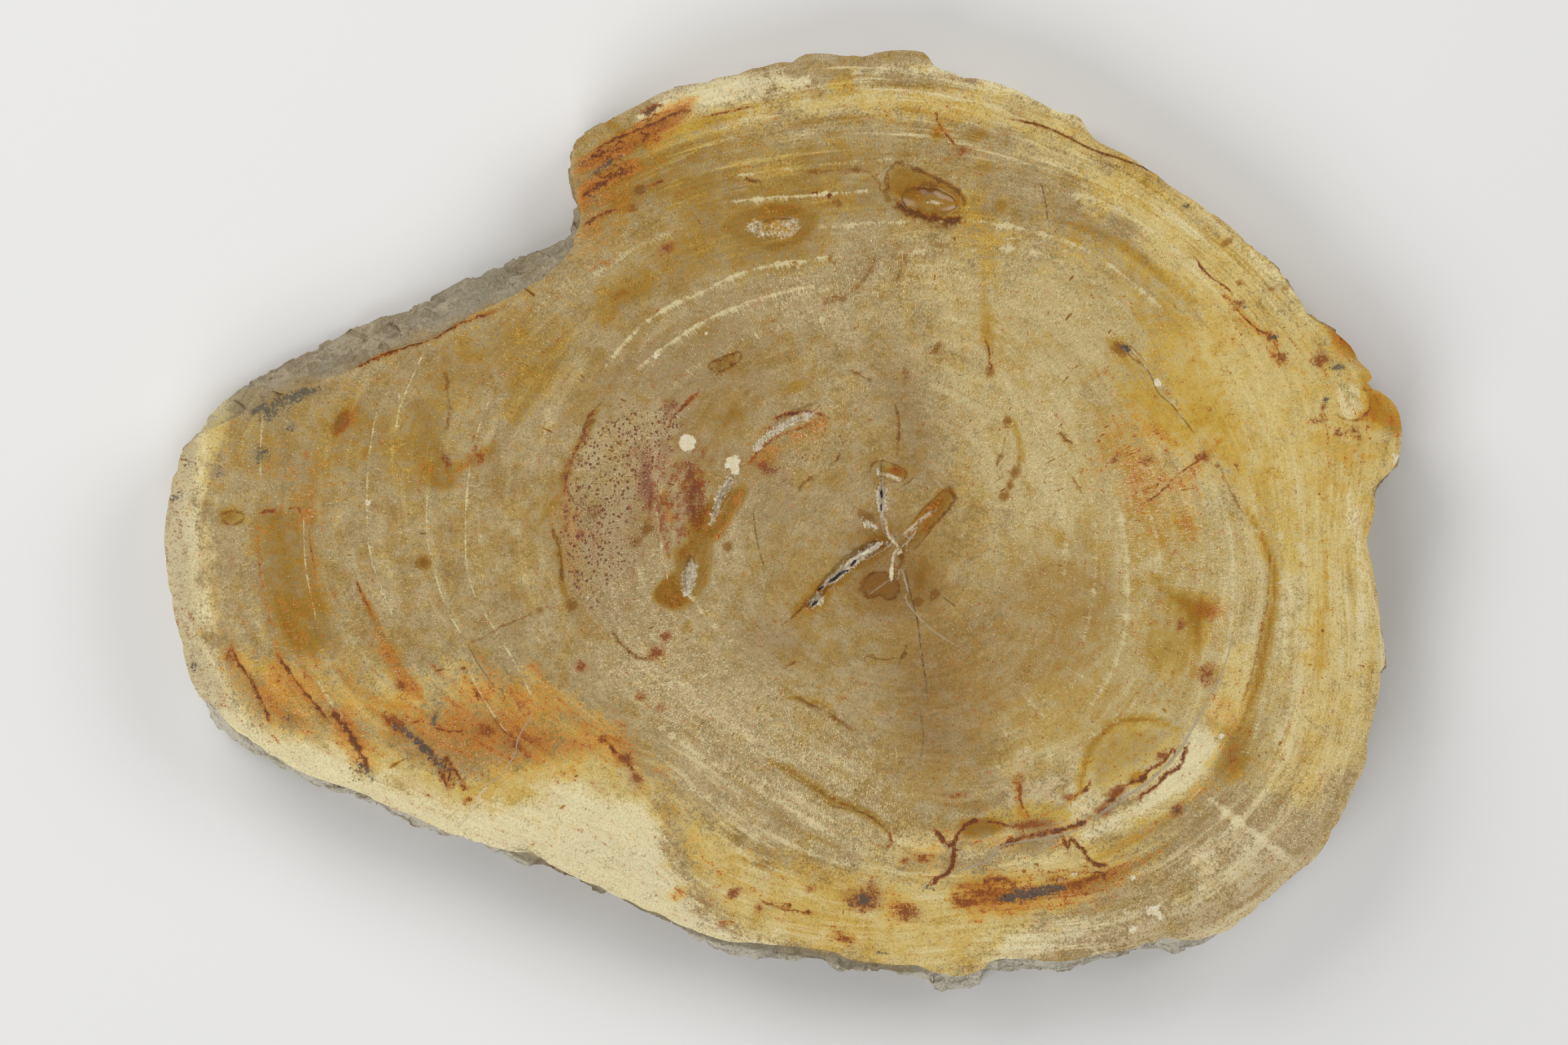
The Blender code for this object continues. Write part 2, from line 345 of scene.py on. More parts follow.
def hollow_depth(places):
    """How far the polished face lies under its plane at each place, in millimetres."""
    depth = np.zeros(len(places))
    for middle_x, middle_y, half_length, half_width, deepest, turn in HOLLOWS.values():
        middle = np.array(((middle_x, middle_y),))
        near = in_reach(places, middle, half_length + HOLLOW_REACH)
        if len(near):
            offset = ragged(places[near]) - middle
            along = offset @ (math.cos(math.radians(turn)), math.sin(math.radians(turn)))
            across = offset @ (-math.sin(math.radians(turn)), math.cos(math.radians(turn)))
            share = (along / half_length) ** 2 + (across / half_width) ** 2
            depth[near] = np.maximum(depth[near], deepest * np.sqrt(np.clip(1.0 - share, 0.0, 1.0)))
    for half_width, deepest, route in GROOVES:
        curve = smooth_curve(on_stone(route))
        near = in_reach(places, curve, HOLLOW_REACH)
        if len(near):
            distance, _, along = line_distance(ragged(places[near]), curve)
            width = half_width * np.sin(math.pi * np.clip(along, 0.02, 0.98)) ** GROOVE_TAPER
            sunk = deepest * np.clip(1.0 - distance / width, 0.0, 1.0) ** 0.5
            depth[near] = np.maximum(depth[near], sunk)
    return depth


deepest_hollow = max(deepest for *_, deepest, turn in HOLLOWS.values())
print(len(HOLLOWS), "hollows and", len(GROOVES), "grooves, the deepest", deepest_hollow, "mm")

# %% Finer cells near the hollows, then sink them
FINE_CUTS = 2
FINE_REACH = 0.6


def near_hollow(places):
    """Whether each place is in or beside a hollow."""
    steps = [(0.0, 0.0), (FINE_REACH, 0.0), (-FINE_REACH, 0.0), (0.0, FINE_REACH), (0.0, -FINE_REACH)]
    return np.max([hollow_depth(places + step) for step in steps], axis=0) > 0.0


centres = np.array([face.calc_center_median().xy for face in face_cells]) / MM
beside = near_hollow(centres)
busy_edges = unique(edge for face, busy in zip(face_cells, beside) if busy for edge in face.edges)
bmesh.ops.subdivide_edges(stone, edges=busy_edges, cuts=FINE_CUTS, use_grid_fill=True)
face_verts = unique(vert for face in stone.faces if face.material_index == POLISHED for vert in face.verts)
sink = hollow_depth(np.array([vert.co.xy for vert in face_verts]) / MM)
for vert, depth in zip(face_verts, sink):
    vert.co.z -= depth * MM
print(int(beside.sum()), "cells made finer and", int((sink > 0).sum()), "points sunk")

# %% [markdown]
# ## One closed mesh
#
# The stone becomes one object. Its edges between the faces and the wall are kept sharp, and everything
# else is shaded smooth.

# %% Make the piece
SHARP_ANGLE = math.radians(42)


def placed(name, data):
    """A new object of the scene, with this data."""
    made = bpy.data.objects.new(name, data)
    bpy.context.collection.objects.link(made)
    return made


bmesh.ops.triangulate(stone, faces=stone.faces)
for face in stone.faces:
    face.smooth = True
for edge in stone.edges:
    if len({face.material_index for face in edge.link_faces}) > 1:
        edge.smooth = False
    elif edge.link_faces[0].material_index == BROKEN and edge.calc_face_angle(0.0) > SHARP_ANGLE:
        edge.smooth = False
open_edges = sum(len(edge.link_faces) != 2 for edge in stone.edges)
mesh = bpy.data.meshes.new("petrified_wood_stone")
stone.to_mesh(mesh)
stone.free()
piece = placed("petrified_wood_stone", mesh)
print("stone:", len(mesh.polygons), "triangles,", open_edges, "open edges")

# %% [markdown]
# ## The growth rings
#
# Tree rings are nearly circles round the pith, stretched towards the left lobe. Four of them were
# followed right round the slab, as a radius every 15 degrees. The other rings are spaced between
# and beyond those four, so each point of the stone gets a ring number, and any pattern drawn along that
# number follows the tree.

# %% Ring number of every point
# Radii in pixels, every 15 degrees from +X round by +Y, for each ring number.
RING_RADII = {
    6.0: (285, 281, 282, 285, 294, 300, 290, 262, 255, 263, 268, 279,
          294, 307, 300, 285, 278, 286, 293, 303, 315, 319, 311, 297),
    9.0: (510, 486, 463, 480, 479, 448, 437, 442, 463, 493, 508, 503,
          494, 479, 440, 400, 392, 407, 445, 482, 500, 525, 545, 521),
    12.0: (620, 628, 632, 613, 598, 578, 577, 586, 618, 655, 717, 800,
           778, 712, 626, 540, 574, 570, 565, 568, 622, 650, 661, 640),
    15.5: (722, 785, 726, 702, 700, 725, 745, 758, 772, 790, 805, 1010,
           1100, 1060, 845, 718, 680, 666, 662, 672, 725, 780, 792, 765),
}


def ring_numbers(places):
    """The growth ring that each place lies in, counted from the pith."""
    offset = places - PITH
    radius = np.hypot(offset[:, 0], offset[:, 1])
    turn = np.degrees(np.arctan2(offset[:, 1], offset[:, 0])) % 360.0
    inner_radius = np.zeros(len(places))
    inner_ring = 0.0
    number = np.zeros(len(places))
    for ring, radii in RING_RADII.items():
        around = smooth_curve(np.array(radii)[:, None] * MM_PER_PIXEL, closed=True)[:, 0]
        turns = np.linspace(0.0, 360.0, len(around) + 1)
        outer_radius = np.interp(turn, turns, np.append(around, around[0]))
        share = (radius - inner_radius) / (outer_radius - inner_radius)
        number = np.where(share > 0.0, inner_ring + share * (ring - inner_ring), number)
        inner_radius, inner_ring = outer_radius, ring
    return number


corners = np.empty(len(mesh.vertices) * 3)
mesh.vertices.foreach_get("co", corners)
places = corners.reshape(-1, 3)[:, :2] / MM
ring = ring_numbers(places)
print("ring numbers from", ring.min().round(1), "to", ring.max().round(1))

# %% [markdown]
# ## Fields
#
# A marking isn't painted in one go. Its shape is first laid down as a field: a number at each point that
# falls gently from 1 in its middle, through 0.5 at its edge, to 0 outside. The materials later cut that
# slope at 0.5 with noise added, which gives the crisp, wandering edges of real stains, finer than the
# mesh.

# %% Fields from areas, streaks and spots
STREAK_TAPER = 6.0
STREAK_TIP = 0.4


def field(areas=(), streaks=(), spots=()):
    """A field from areas (softness, strength, outline), streaks (half width, strength, route) and spots
    (middle x, y, half length, half width, turn in degrees, strength), all in pixels."""
    value = np.zeros(len(places))

    def raise_to(near, level):
        value[near] = np.maximum(value[near], level)

    for softness, strength, outline in areas:
        curve = smooth_curve(on_stone(outline), closed=True)
        soft = softness * MM_PER_PIXEL
        near = in_reach(places, curve, soft)
        raise_to(near, strength * np.clip(0.5 + 0.5 * area_distance(places[near], curve) / soft, 0.0, 1.0))
    for half_width, strength, route in streaks:
        curve = smooth_curve(on_stone(route))
        half = half_width * MM_PER_PIXEL
        near = in_reach(places, curve, 2.0 * half)
        distance, _, along = line_distance(places[near], curve)
        taper = np.clip(np.minimum(along, 1.0 - along) * STREAK_TAPER, STREAK_TIP, 1.0)
        raise_to(near, strength * np.clip(1.0 - 0.5 * distance / (half * taper), 0.0, 1.0))
    for middle_x, middle_y, half_length, half_width, turn, strength in spots:
        middle = on_stone([(middle_x, middle_y)])
        near = in_reach(places, middle, 2.0 * max(half_length, half_width) * MM_PER_PIXEL)
        offset = (places[near] - middle) / MM_PER_PIXEL
        cos, sin = math.cos(math.radians(turn)), math.sin(math.radians(turn))
        share = np.hypot(offset @ (cos, sin) / half_length, offset @ (-sin, cos) / half_width)
        raise_to(near, strength * np.clip(1.0 - 0.5 * share, 0.0, 1.0))
    return value


def covered(value):
    """How many points of the stone a field covers."""
    return int((value > 0.5).sum())


# %% Thin lines, and a place to keep the fields
LINE_TAPER = 8.0
LINE_REACH = 1.6
FAR_ASIDE = 9.0


def thin_lines(lines, centre=None):
    """For thin crisp lines (half width, strength, route): how many half widths each point is aside from
    the nearest line, with a sign for its side, and how strong that line is there."""
    sideways = np.full(len(places), FAR_ASIDE)
    strengths = np.zeros(len(places))
    for half_width, strength, route in lines:
        curve = smooth_curve(on_stone(route))
        half = half_width * MM_PER_PIXEL
        reach = LINE_REACH + 2.0 * half
        near = in_reach(places, curve, reach)
        distance, side, along = line_distance(places[near], curve, centre)
        taper = np.clip(np.minimum(along, 1.0 - along) * LINE_TAPER, 0.0, 1.0)
        level = strength * taper * np.clip(1.2 - distance / reach, 0.0, 1.0)
        wins = level > strengths[near]
        sideways[near[wins]] = (side * distance / half)[wins]
        strengths[near[wins]] = level[wins]
    return sideways, strengths


def keep(name, *values):
    """Stores up to three fields as one vector attribute of the mesh."""
    packed = np.zeros((len(places), 3), dtype=np.float32)
    for axis, value in enumerate(values):
        packed[:, axis] = value
    mesh.attributes.new(name, "FLOAT_VECTOR", "POINT").data.foreach_set("vector", packed.ravel())
    print(name, "holds", [f"{value.min():.2f} to {value.max():.2f}" for value in values])


# %% [markdown]
# ## Pale growth arcs
#
# Where a season's wood was dense, the stone shows a pale line along the ring. These were followed one by
# one. They are thin, so they are stored as a distance to the side, which stays exact between the points
# of the mesh.

# %% Pale arcs
PALE_ARCS = [
    (3.6, 0.9, [(885, 585), (900, 560), (950, 500), (1000, 462), (1050, 440), (1100, 414), (1150, 400),
        (1250, 386), (1300, 381)]),
    (4.0, 0.6, [(1290, 381), (1400, 376), (1500, 372), (1560, 380), (1620, 410), (1680, 455), (1720, 500)]),
    (3.6, 0.95, [(925, 585), (940, 570), (980, 533), (1040, 492), (1100, 462), (1150, 445), (1200, 433),
        (1250, 426)]),
    (6.0, 0.5, [(985, 600), (1000, 585), (1060, 540), (1120, 508), (1180, 488), (1240, 478), (1290, 474)]),
    (6.0, 0.5, [(850, 455), (870, 430), (900, 405), (950, 375), (1000, 350), (1040, 335)]),
    (5.0, 0.5, [(785, 490), (800, 470), (830, 440), (870, 410), (900, 390)]),
    (4.0, 0.7, [(1180, 349), (1200, 345), (1300, 335), (1400, 332), (1450, 330), (1500, 337), (1550, 347),
        (1600, 362), (1650, 387), (1700, 425), (1760, 478), (1790, 520)]),
    (3.0, 0.9, [(1080, 305), (1100, 302), (1150, 297), (1200, 294), (1300, 286), (1320, 285)]),
    (3.0, 0.5, [(1060, 273), (1080, 268), (1150, 258), (1200, 250), (1300, 240), (1400, 238), (1470, 245)]),
    (3.5, 0.7, [(1530, 275), (1550, 280), (1600, 290), (1650, 300), (1700, 325), (1730, 345)]),
    (4.0, 0.8, [(1690, 325), (1700, 330), (1740, 352), (1770, 380), (1800, 400), (1830, 430)]),
    (3.0, 0.45, [(1100, 210), (1200, 190), (1300, 178), (1400, 172), (1500, 185), (1580, 210)]),
    (3.0, 0.45, [(1040, 190), (1120, 165), (1220, 150), (1320, 143), (1420, 142), (1500, 155)]),
    (4.0, 0.5, [(1585, 700), (1595, 745), (1600, 800), (1598, 850), (1590, 890)]),
    (4.0, 0.6, [(1630, 720), (1640, 760), (1645, 820), (1640, 900), (1625, 960), (1605, 1000)]),
    (6.0, 0.85, [(1670, 735), (1680, 770), (1690, 830), (1692, 900), (1688, 950), (1672, 1000),
        (1650, 1040), (1620, 1080)]),
    (3.0, 0.6, [(1718, 750), (1732, 790), (1740, 830), (1741, 870)]),
    (5.0, 0.5, [(1795, 700), (1805, 740), (1815, 800), (1820, 850), (1818, 900)]),
    (5.0, 0.8, [(1800, 690), (1815, 720), (1832, 750), (1845, 790), (1850, 850), (1848, 920), (1840, 980),
        (1830, 1020)]),
    (5.0, 0.5, [(1860, 670), (1870, 700), (1885, 780), (1888, 860), (1880, 940), (1860, 1020),
        (1840, 1070)]),
    (4.0, 0.6, [(1905, 720), (1915, 760), (1925, 850), (1920, 950), (1900, 1040), (1880, 1110),
        (1860, 1160)]),
    (7.0, 0.7, [(1930, 680), (1945, 720), (1955, 800), (1958, 900), (1950, 1000), (1930, 1080),
        (1900, 1160)]),
    (6.0, 0.5, [(1990, 710), (2000, 760), (2010, 850), (2015, 950), (2005, 1050), (1985, 1130)]),
    (6.0, 0.5, [(1500, 1085), (1545, 1060), (1590, 1040), (1640, 1000), (1670, 960)]),
    (4.0, 0.5, [(1470, 1155), (1500, 1150), (1560, 1140), (1620, 1115), (1680, 1080), (1720, 1050)]),
    (4.0, 0.4, [(1490, 1108), (1520, 1100), (1560, 1080), (1600, 1050), (1630, 1020)]),
    (5.0, 0.3, [(1010, 985), (1050, 1010), (1100, 1040), (1150, 1065), (1250, 1100), (1330, 1130),
        (1400, 1140)]),
    (5.0, 0.4, [(960, 985), (1000, 1020), (1050, 1060), (1100, 1090), (1200, 1140), (1280, 1190),
        (1340, 1225)]),
    (6.0, 0.8, [(970, 1075), (1000, 1100), (1060, 1140), (1130, 1180), (1200, 1225), (1270, 1265),
        (1330, 1290)]),
    (5.0, 0.6, [(1000, 1155), (1030, 1180), (1100, 1220), (1170, 1260), (1240, 1290), (1320, 1310)]),
    (4.0, 0.5, [(1030, 1230), (1060, 1250), (1130, 1290), (1200, 1320), (1250, 1340)]),
    (1.3, 0.85, [(978, 745), (985, 770), (992, 820), (1000, 860), (1003, 880)]),
    (3.5, 0.7, [(1020, 880), (1040, 900), (1060, 930), (1085, 955), (1110, 970)]),
    (3.0, 0.5, [(950, 840), (960, 860), (975, 900), (1000, 940), (1030, 970)]),
    (3.0, 0.5, [(895, 935), (920, 960), (980, 1000), (1030, 1030), (1060, 1050)]),
    (1.3, 0.85, [(760, 550), (745, 575), (722, 630), (708, 680), (700, 740), (698, 800), (700, 850),
        (715, 900), (745, 950), (775, 1000), (800, 1050), (820, 1080)]),
    (1.3, 0.8, [(645, 715), (640, 750), (640, 800), (650, 850), (665, 900), (690, 950), (720, 1000)]),
    (1.3, 0.85, [(570, 600), (560, 640), (552, 700), (550, 760), (555, 830), (575, 890), (600, 950)]),
    (1.3, 0.8, [(645, 510), (630, 540), (612, 580), (600, 610), (592, 650)]),
    (1.3, 0.85, [(452, 750), (455, 780), (458, 850), (470, 910), (478, 950)]),
    (1.3, 0.85, [(398, 600), (395, 620), (391, 660), (390, 700), (392, 730)]),
    (2.0, 0.4, [(340, 610), (330, 640), (308, 690), (304, 760), (308, 840), (316, 900), (326, 960),
        (345, 1020), (370, 1060)]),
    (1.3, 0.85, [(700, 1000), (720, 1040), (745, 1080), (770, 1110)]),
    (3.0, 0.6, [(470, 1010), (490, 1045), (510, 1080), (530, 1110)]),
    (5.0, 0.75, [(1949, 885), (1948, 930), (1940, 995)]),
]
arc_side, arc_strength = thin_lines(PALE_ARCS, PITH)
print(len(PALE_ARCS), "pale arcs reach", int((arc_strength > 0).sum()), "points")

# %% [markdown]
# ## Ground tones
#
# Most of the stone is a pinkish tan. It turns yellow towards the right and along the lower edge, cream
# where the rind has weathered, and brown in the heart round the pith. Near the outside the rings are
# crowded and banded.

# %% Yellow stone
YELLOW_AREAS = [
    (30, 1.15, [(1720, 300), (1800, 360), (1900, 440), (1990, 520), (2040, 560), (1960, 590), (1880, 520),
        (1790, 440), (1720, 370)]),
    (24, 0.6, [(1290, 1240), (1400, 1235), (1420, 1290), (1380, 1320), (1300, 1300)]),
    (40, 0.9, [(1640, 230), (1760, 290), (1880, 380), (1960, 460), (1920, 485), (1820, 430), (1700, 350),
        (1620, 280)]),
    (10, 1.0, [(1830, 985), (1880, 960), (1882, 1000), (1870, 1060), (1850, 1092), (1824, 1085),
        (1815, 1062), (1828, 1030)]),
    (80, 1.0, [(1700, 600), (1764, 470), (1900, 430), (2060, 520), (2130, 650), (2100, 780), (2040, 900),
        (1930, 880), (1850, 760), (1740, 700)]),
    (40, 0.85, [(1905, 680), (2060, 700), (2110, 850), (2100, 1000), (2060, 1150), (1930, 1200),
        (1935, 1000), (1925, 850)]),
    (30, 1.0, [(350, 1030), (400, 1075), (480, 1100), (560, 1110), (640, 1150), (720, 1160), (860, 1125),
        (960, 1160), (1010, 1250), (900, 1250), (780, 1240), (700, 1270), (600, 1230), (480, 1180),
        (390, 1150)]),
    (34, 0.95, [(1000, 1190), (1150, 1285), (1290, 1300), (1400, 1300), (1560, 1290), (1700, 1240),
        (1760, 1260), (1640, 1340), (1540, 1400), (1480, 1460), (1300, 1450), (1180, 1420), (1080, 1370),
        (1020, 1280)]),
    (18, 0.8, [(296, 650), (340, 600), (345, 660), (318, 720), (316, 830), (330, 930), (350, 1010),
        (400, 1080), (350, 1050), (315, 960), (296, 850), (290, 740)]),
    (70, 0.5, [(1450, 300), (1600, 330), (1750, 420), (1850, 560), (1870, 700), (1800, 640), (1700, 500),
        (1600, 430), (1450, 400)]),
]
YELLOW_STREAKS = [
    (45, 0.7, [(360, 990), (450, 1025), (560, 1060), (680, 1040), (790, 1060), (880, 1110), (960, 1170)]),
    (24, 0.8, [(960, 215), (1100, 168), (1300, 152), (1450, 160), (1560, 205)]),
    (55, 0.75, [(1480, 130), (1560, 180), (1700, 260), (1850, 385), (1950, 480), (2000, 560)]),
    (34, 0.75, [(1850, 1060), (1800, 1150), (1720, 1220), (1640, 1270), (1560, 1300)]),
]
yellow = field(YELLOW_AREAS, YELLOW_STREAKS)
print("yellow stone covers", covered(yellow), "points")

# %% Cream stone
CREAM_AREAS = [
    (22, 0.55, [(2078, 700), (2112, 740), (2122, 900), (2112, 1000), (2080, 1080), (2055, 1050),
        (2072, 950), (2080, 850)]),
    (22, 0.7, [(1475, 1402), (1500, 1395), (1600, 1382), (1650, 1395), (1600, 1435), (1500, 1450),
        (1475, 1442)]),
    (8, 0.5, [(1112, 345), (1132, 325), (1165, 332), (1200, 325), (1202, 345), (1180, 366), (1145, 362)]),
    (7, 0.72, [(2002, 588), (2012, 573), (2038, 576), (2050, 590), (2054, 612), (2036, 622), (2022, 632),
        (2008, 618)]),
    (14, 0.9, [(1790, 1090), (1830, 1110), (1825, 1140), (1780, 1180), (1730, 1215), (1690, 1240),
        (1650, 1262), (1620, 1256), (1700, 1204), (1760, 1145)]),
    (26, 0.95, [(330, 590), (302, 660), (298, 720), (302, 800), (306, 860), (314, 930), (333, 1000),
        (356, 1045), (400, 1088), (470, 1112), (550, 1140), (640, 1190), (700, 1215), (760, 1200),
        (850, 1180), (950, 1200), (990, 1240), (1010, 1300), (1060, 1370), (1130, 1410), (1200, 1440),
        (1200, 1600), (300, 1500), (120, 1000), (150, 560)]),
    (34, 0.48, [(1620, 1390), (1760, 1330), (1800, 1260), (1870, 1225), (1930, 1260), (1980, 1230),
        (2020, 1150), (2060, 1050), (2085, 960), (2250, 960), (2200, 1400), (1700, 1500)]),
    (30, 0.5, [(1500, 1160), (1600, 1130), (1720, 1060), (1780, 1110), (1740, 1180), (1640, 1240),
        (1500, 1290), (1400, 1300), (1460, 1250)]),
]
CREAM_STREAKS = [
    (7, 1.0, [(1813, 1196), (1860, 1235), (1910, 1272), (1951, 1308)]),
    (7, 0.65, [(312, 660), (299, 720), (296, 780), (300, 840), (308, 900), (318, 960), (336, 1020),
        (362, 1062)]),
    (19, 0.95, [(960, 178), (1023, 150), (1120, 128), (1210, 122)]),
    (12, 0.7, [(1280, 108), (1400, 104), (1500, 124), (1600, 165), (1700, 222)]),
    (12, 0.55, [(1930, 1000), (1935, 900), (1925, 800), (1905, 720)]),
    (10, 0.5, [(2040, 1000), (2045, 900), (2035, 800), (2020, 720)]),
    (22, 0.35, [(1880, 380), (1935, 430), (1990, 500)]),
    (14, 0.5, [(1330, 1262), (1380, 1268), (1430, 1262)]),
]
cream = field(CREAM_AREAS, CREAM_STREAKS)
keep("arcs", arc_side, arc_strength, cream)

# %% The paler right side and the brown heart
RIGHT_AREAS = [
    (60, 1.0, [(1850, 600), (1990, 650), (2010, 900), (1960, 1100), (1880, 1200), (1850, 1000)]),
    (90, 1.0, [(1380, 420), (1560, 350), (1800, 400), (1900, 600), (1930, 900), (1880, 1100), (1750, 1200),
        (1550, 1180), (1450, 1060), (1470, 860), (1430, 640)]),
]
HEART_AREAS = [
    (30, 0.5, [(1060, 660), (1160, 650), (1210, 720), (1200, 800), (1120, 800), (1090, 730)]),
    (44, 0.85, [(1262, 815), (1290, 760), (1350, 765), (1400, 820), (1430, 890), (1380, 945), (1290, 940),
        (1255, 880)]),
    (30, 0.5, [(1110, 930), (1180, 910), (1230, 940), (1220, 1000), (1150, 1010), (1100, 980)]),
    (30, 0.35, [(1690, 930), (1780, 935), (1795, 980), (1795, 1040), (1770, 1070), (1700, 1080),
        (1620, 1100), (1600, 1060), (1660, 1010)]),
    (14, 0.6, [(1640, 1130), (1670, 1100), (1720, 1090), (1750, 1100), (1740, 1125), (1700, 1150),
        (1650, 1180), (1635, 1170)]),
    (30, 0.5, [(1460, 1150), (1540, 1140), (1600, 1170), (1590, 1215), (1500, 1215), (1450, 1190)]),
    (90, 0.33, [(1110, 740), (1200, 640), (1340, 560), (1450, 620), (1500, 760), (1570, 930), (1500, 1060),
        (1380, 1120), (1250, 1090), (1120, 1000), (1060, 880)]),
    (44, 0.62, [(1300, 560), (1360, 520), (1400, 560), (1420, 640), (1400, 720), (1330, 720), (1320, 640)]),
    (20, 0.6, [(1612, 790), (1640, 780), (1645, 830), (1625, 850), (1608, 830)]),
    (60, 0.7, [(1320, 960), (1440, 880), (1540, 810), (1680, 840), (1700, 940), (1640, 1020), (1540, 1080),
        (1480, 1150), (1370, 1170), (1320, 1060)]),
    (50, 0.5, [(880, 530), (1000, 460), (1100, 430), (1180, 500), (1180, 620), (1110, 710), (1060, 740),
        (980, 680), (960, 620), (880, 660)]),
    (40, 0.5, [(820, 740), (960, 700), (1000, 800), (960, 960), (860, 940)]),
]
right = field(RIGHT_AREAS)
heart = field(HEART_AREAS)
keep("tone", yellow, right, heart)

# %% Rind, banded stone and bare wall
RIND_AREAS = [
    (14, 1.0, [(230, 620), (292, 640), (284, 740), (286, 840), (296, 930), (312, 990), (340, 1050),
        (300, 1080), (200, 900)]),
    (30, 0.55, [(2040, 1040), (2080, 950), (2130, 900), (2100, 1150), (1950, 1330), (1760, 1430),
        (1660, 1420), (1700, 1380), (1800, 1340), (1900, 1270), (1990, 1180)]),
    (14, 0.9, [(820, 200), (900, 140), (1020, 95), (1180, 60), (1400, 40), (1520, 60), (1500, 100),
        (1300, 88), (1160, 100), (1040, 128), (960, 160), (880, 215)]),
    (20, 0.6, [(2060, 760), (2200, 760), (2200, 960), (2070, 960), (2052, 860)]),
]
BANDED_AREAS = [
    (40, 1.0, [(1010, 260), (1060, 150), (1176, 90), (1411, 80), (1600, 160), (1800, 290), (1950, 420),
        (1880, 500), (1740, 360), (1560, 270), (1400, 235), (1200, 245), (1020, 290)]),
    (50, 0.6, [(1850, 620), (1960, 640), (2080, 760), (2110, 950), (2060, 1150), (1940, 1300), (1720, 1440),
        (1500, 1480), (1560, 1300), (1760, 1220), (1880, 1080), (1900, 850)]),
    (50, 0.6, [(960, 1060), (1100, 1120), (1330, 1240), (1500, 1290), (1500, 1480), (1250, 1440),
        (1080, 1360), (980, 1240)]),
    (30, 0.5, [(1640, 700), (1800, 700), (1850, 900), (1780, 1080), (1660, 1060), (1700, 880)]),
]
# Above 1 the bare wall is chalky too.
BARE_AREAS = [
    (16, 1.0, [(270, 625), (330, 590), (480, 565), (600, 515), (700, 470), (800, 435), (872, 405),
        (880, 340), (840, 300), (700, 300), (450, 400), (230, 540)]),
    (16, 1.6, [(310, 1020), (360, 1090), (420, 1125), (560, 1185), (700, 1240), (900, 1340), (1060, 1400),
        (1200, 1430), (1340, 1455), (1460, 1440), (1560, 1420), (1700, 1400), (1850, 1350), (1950, 1290),
        (2050, 1400), (1700, 1560), (1200, 1560), (500, 1400), (200, 1150)]),
]
rind = field(RIND_AREAS)
banded = field(BANDED_AREAS)
bare = field(BARE_AREAS)
keep("skin", bare, rind, banded)

# %% [markdown]
# ## Iron stains
#
# Iron in the ground water stained the stone before it was solid: clear golden olive where there was
# little, then orange, rust and almost black. Manganese left slate-grey patches and wine-red ones.

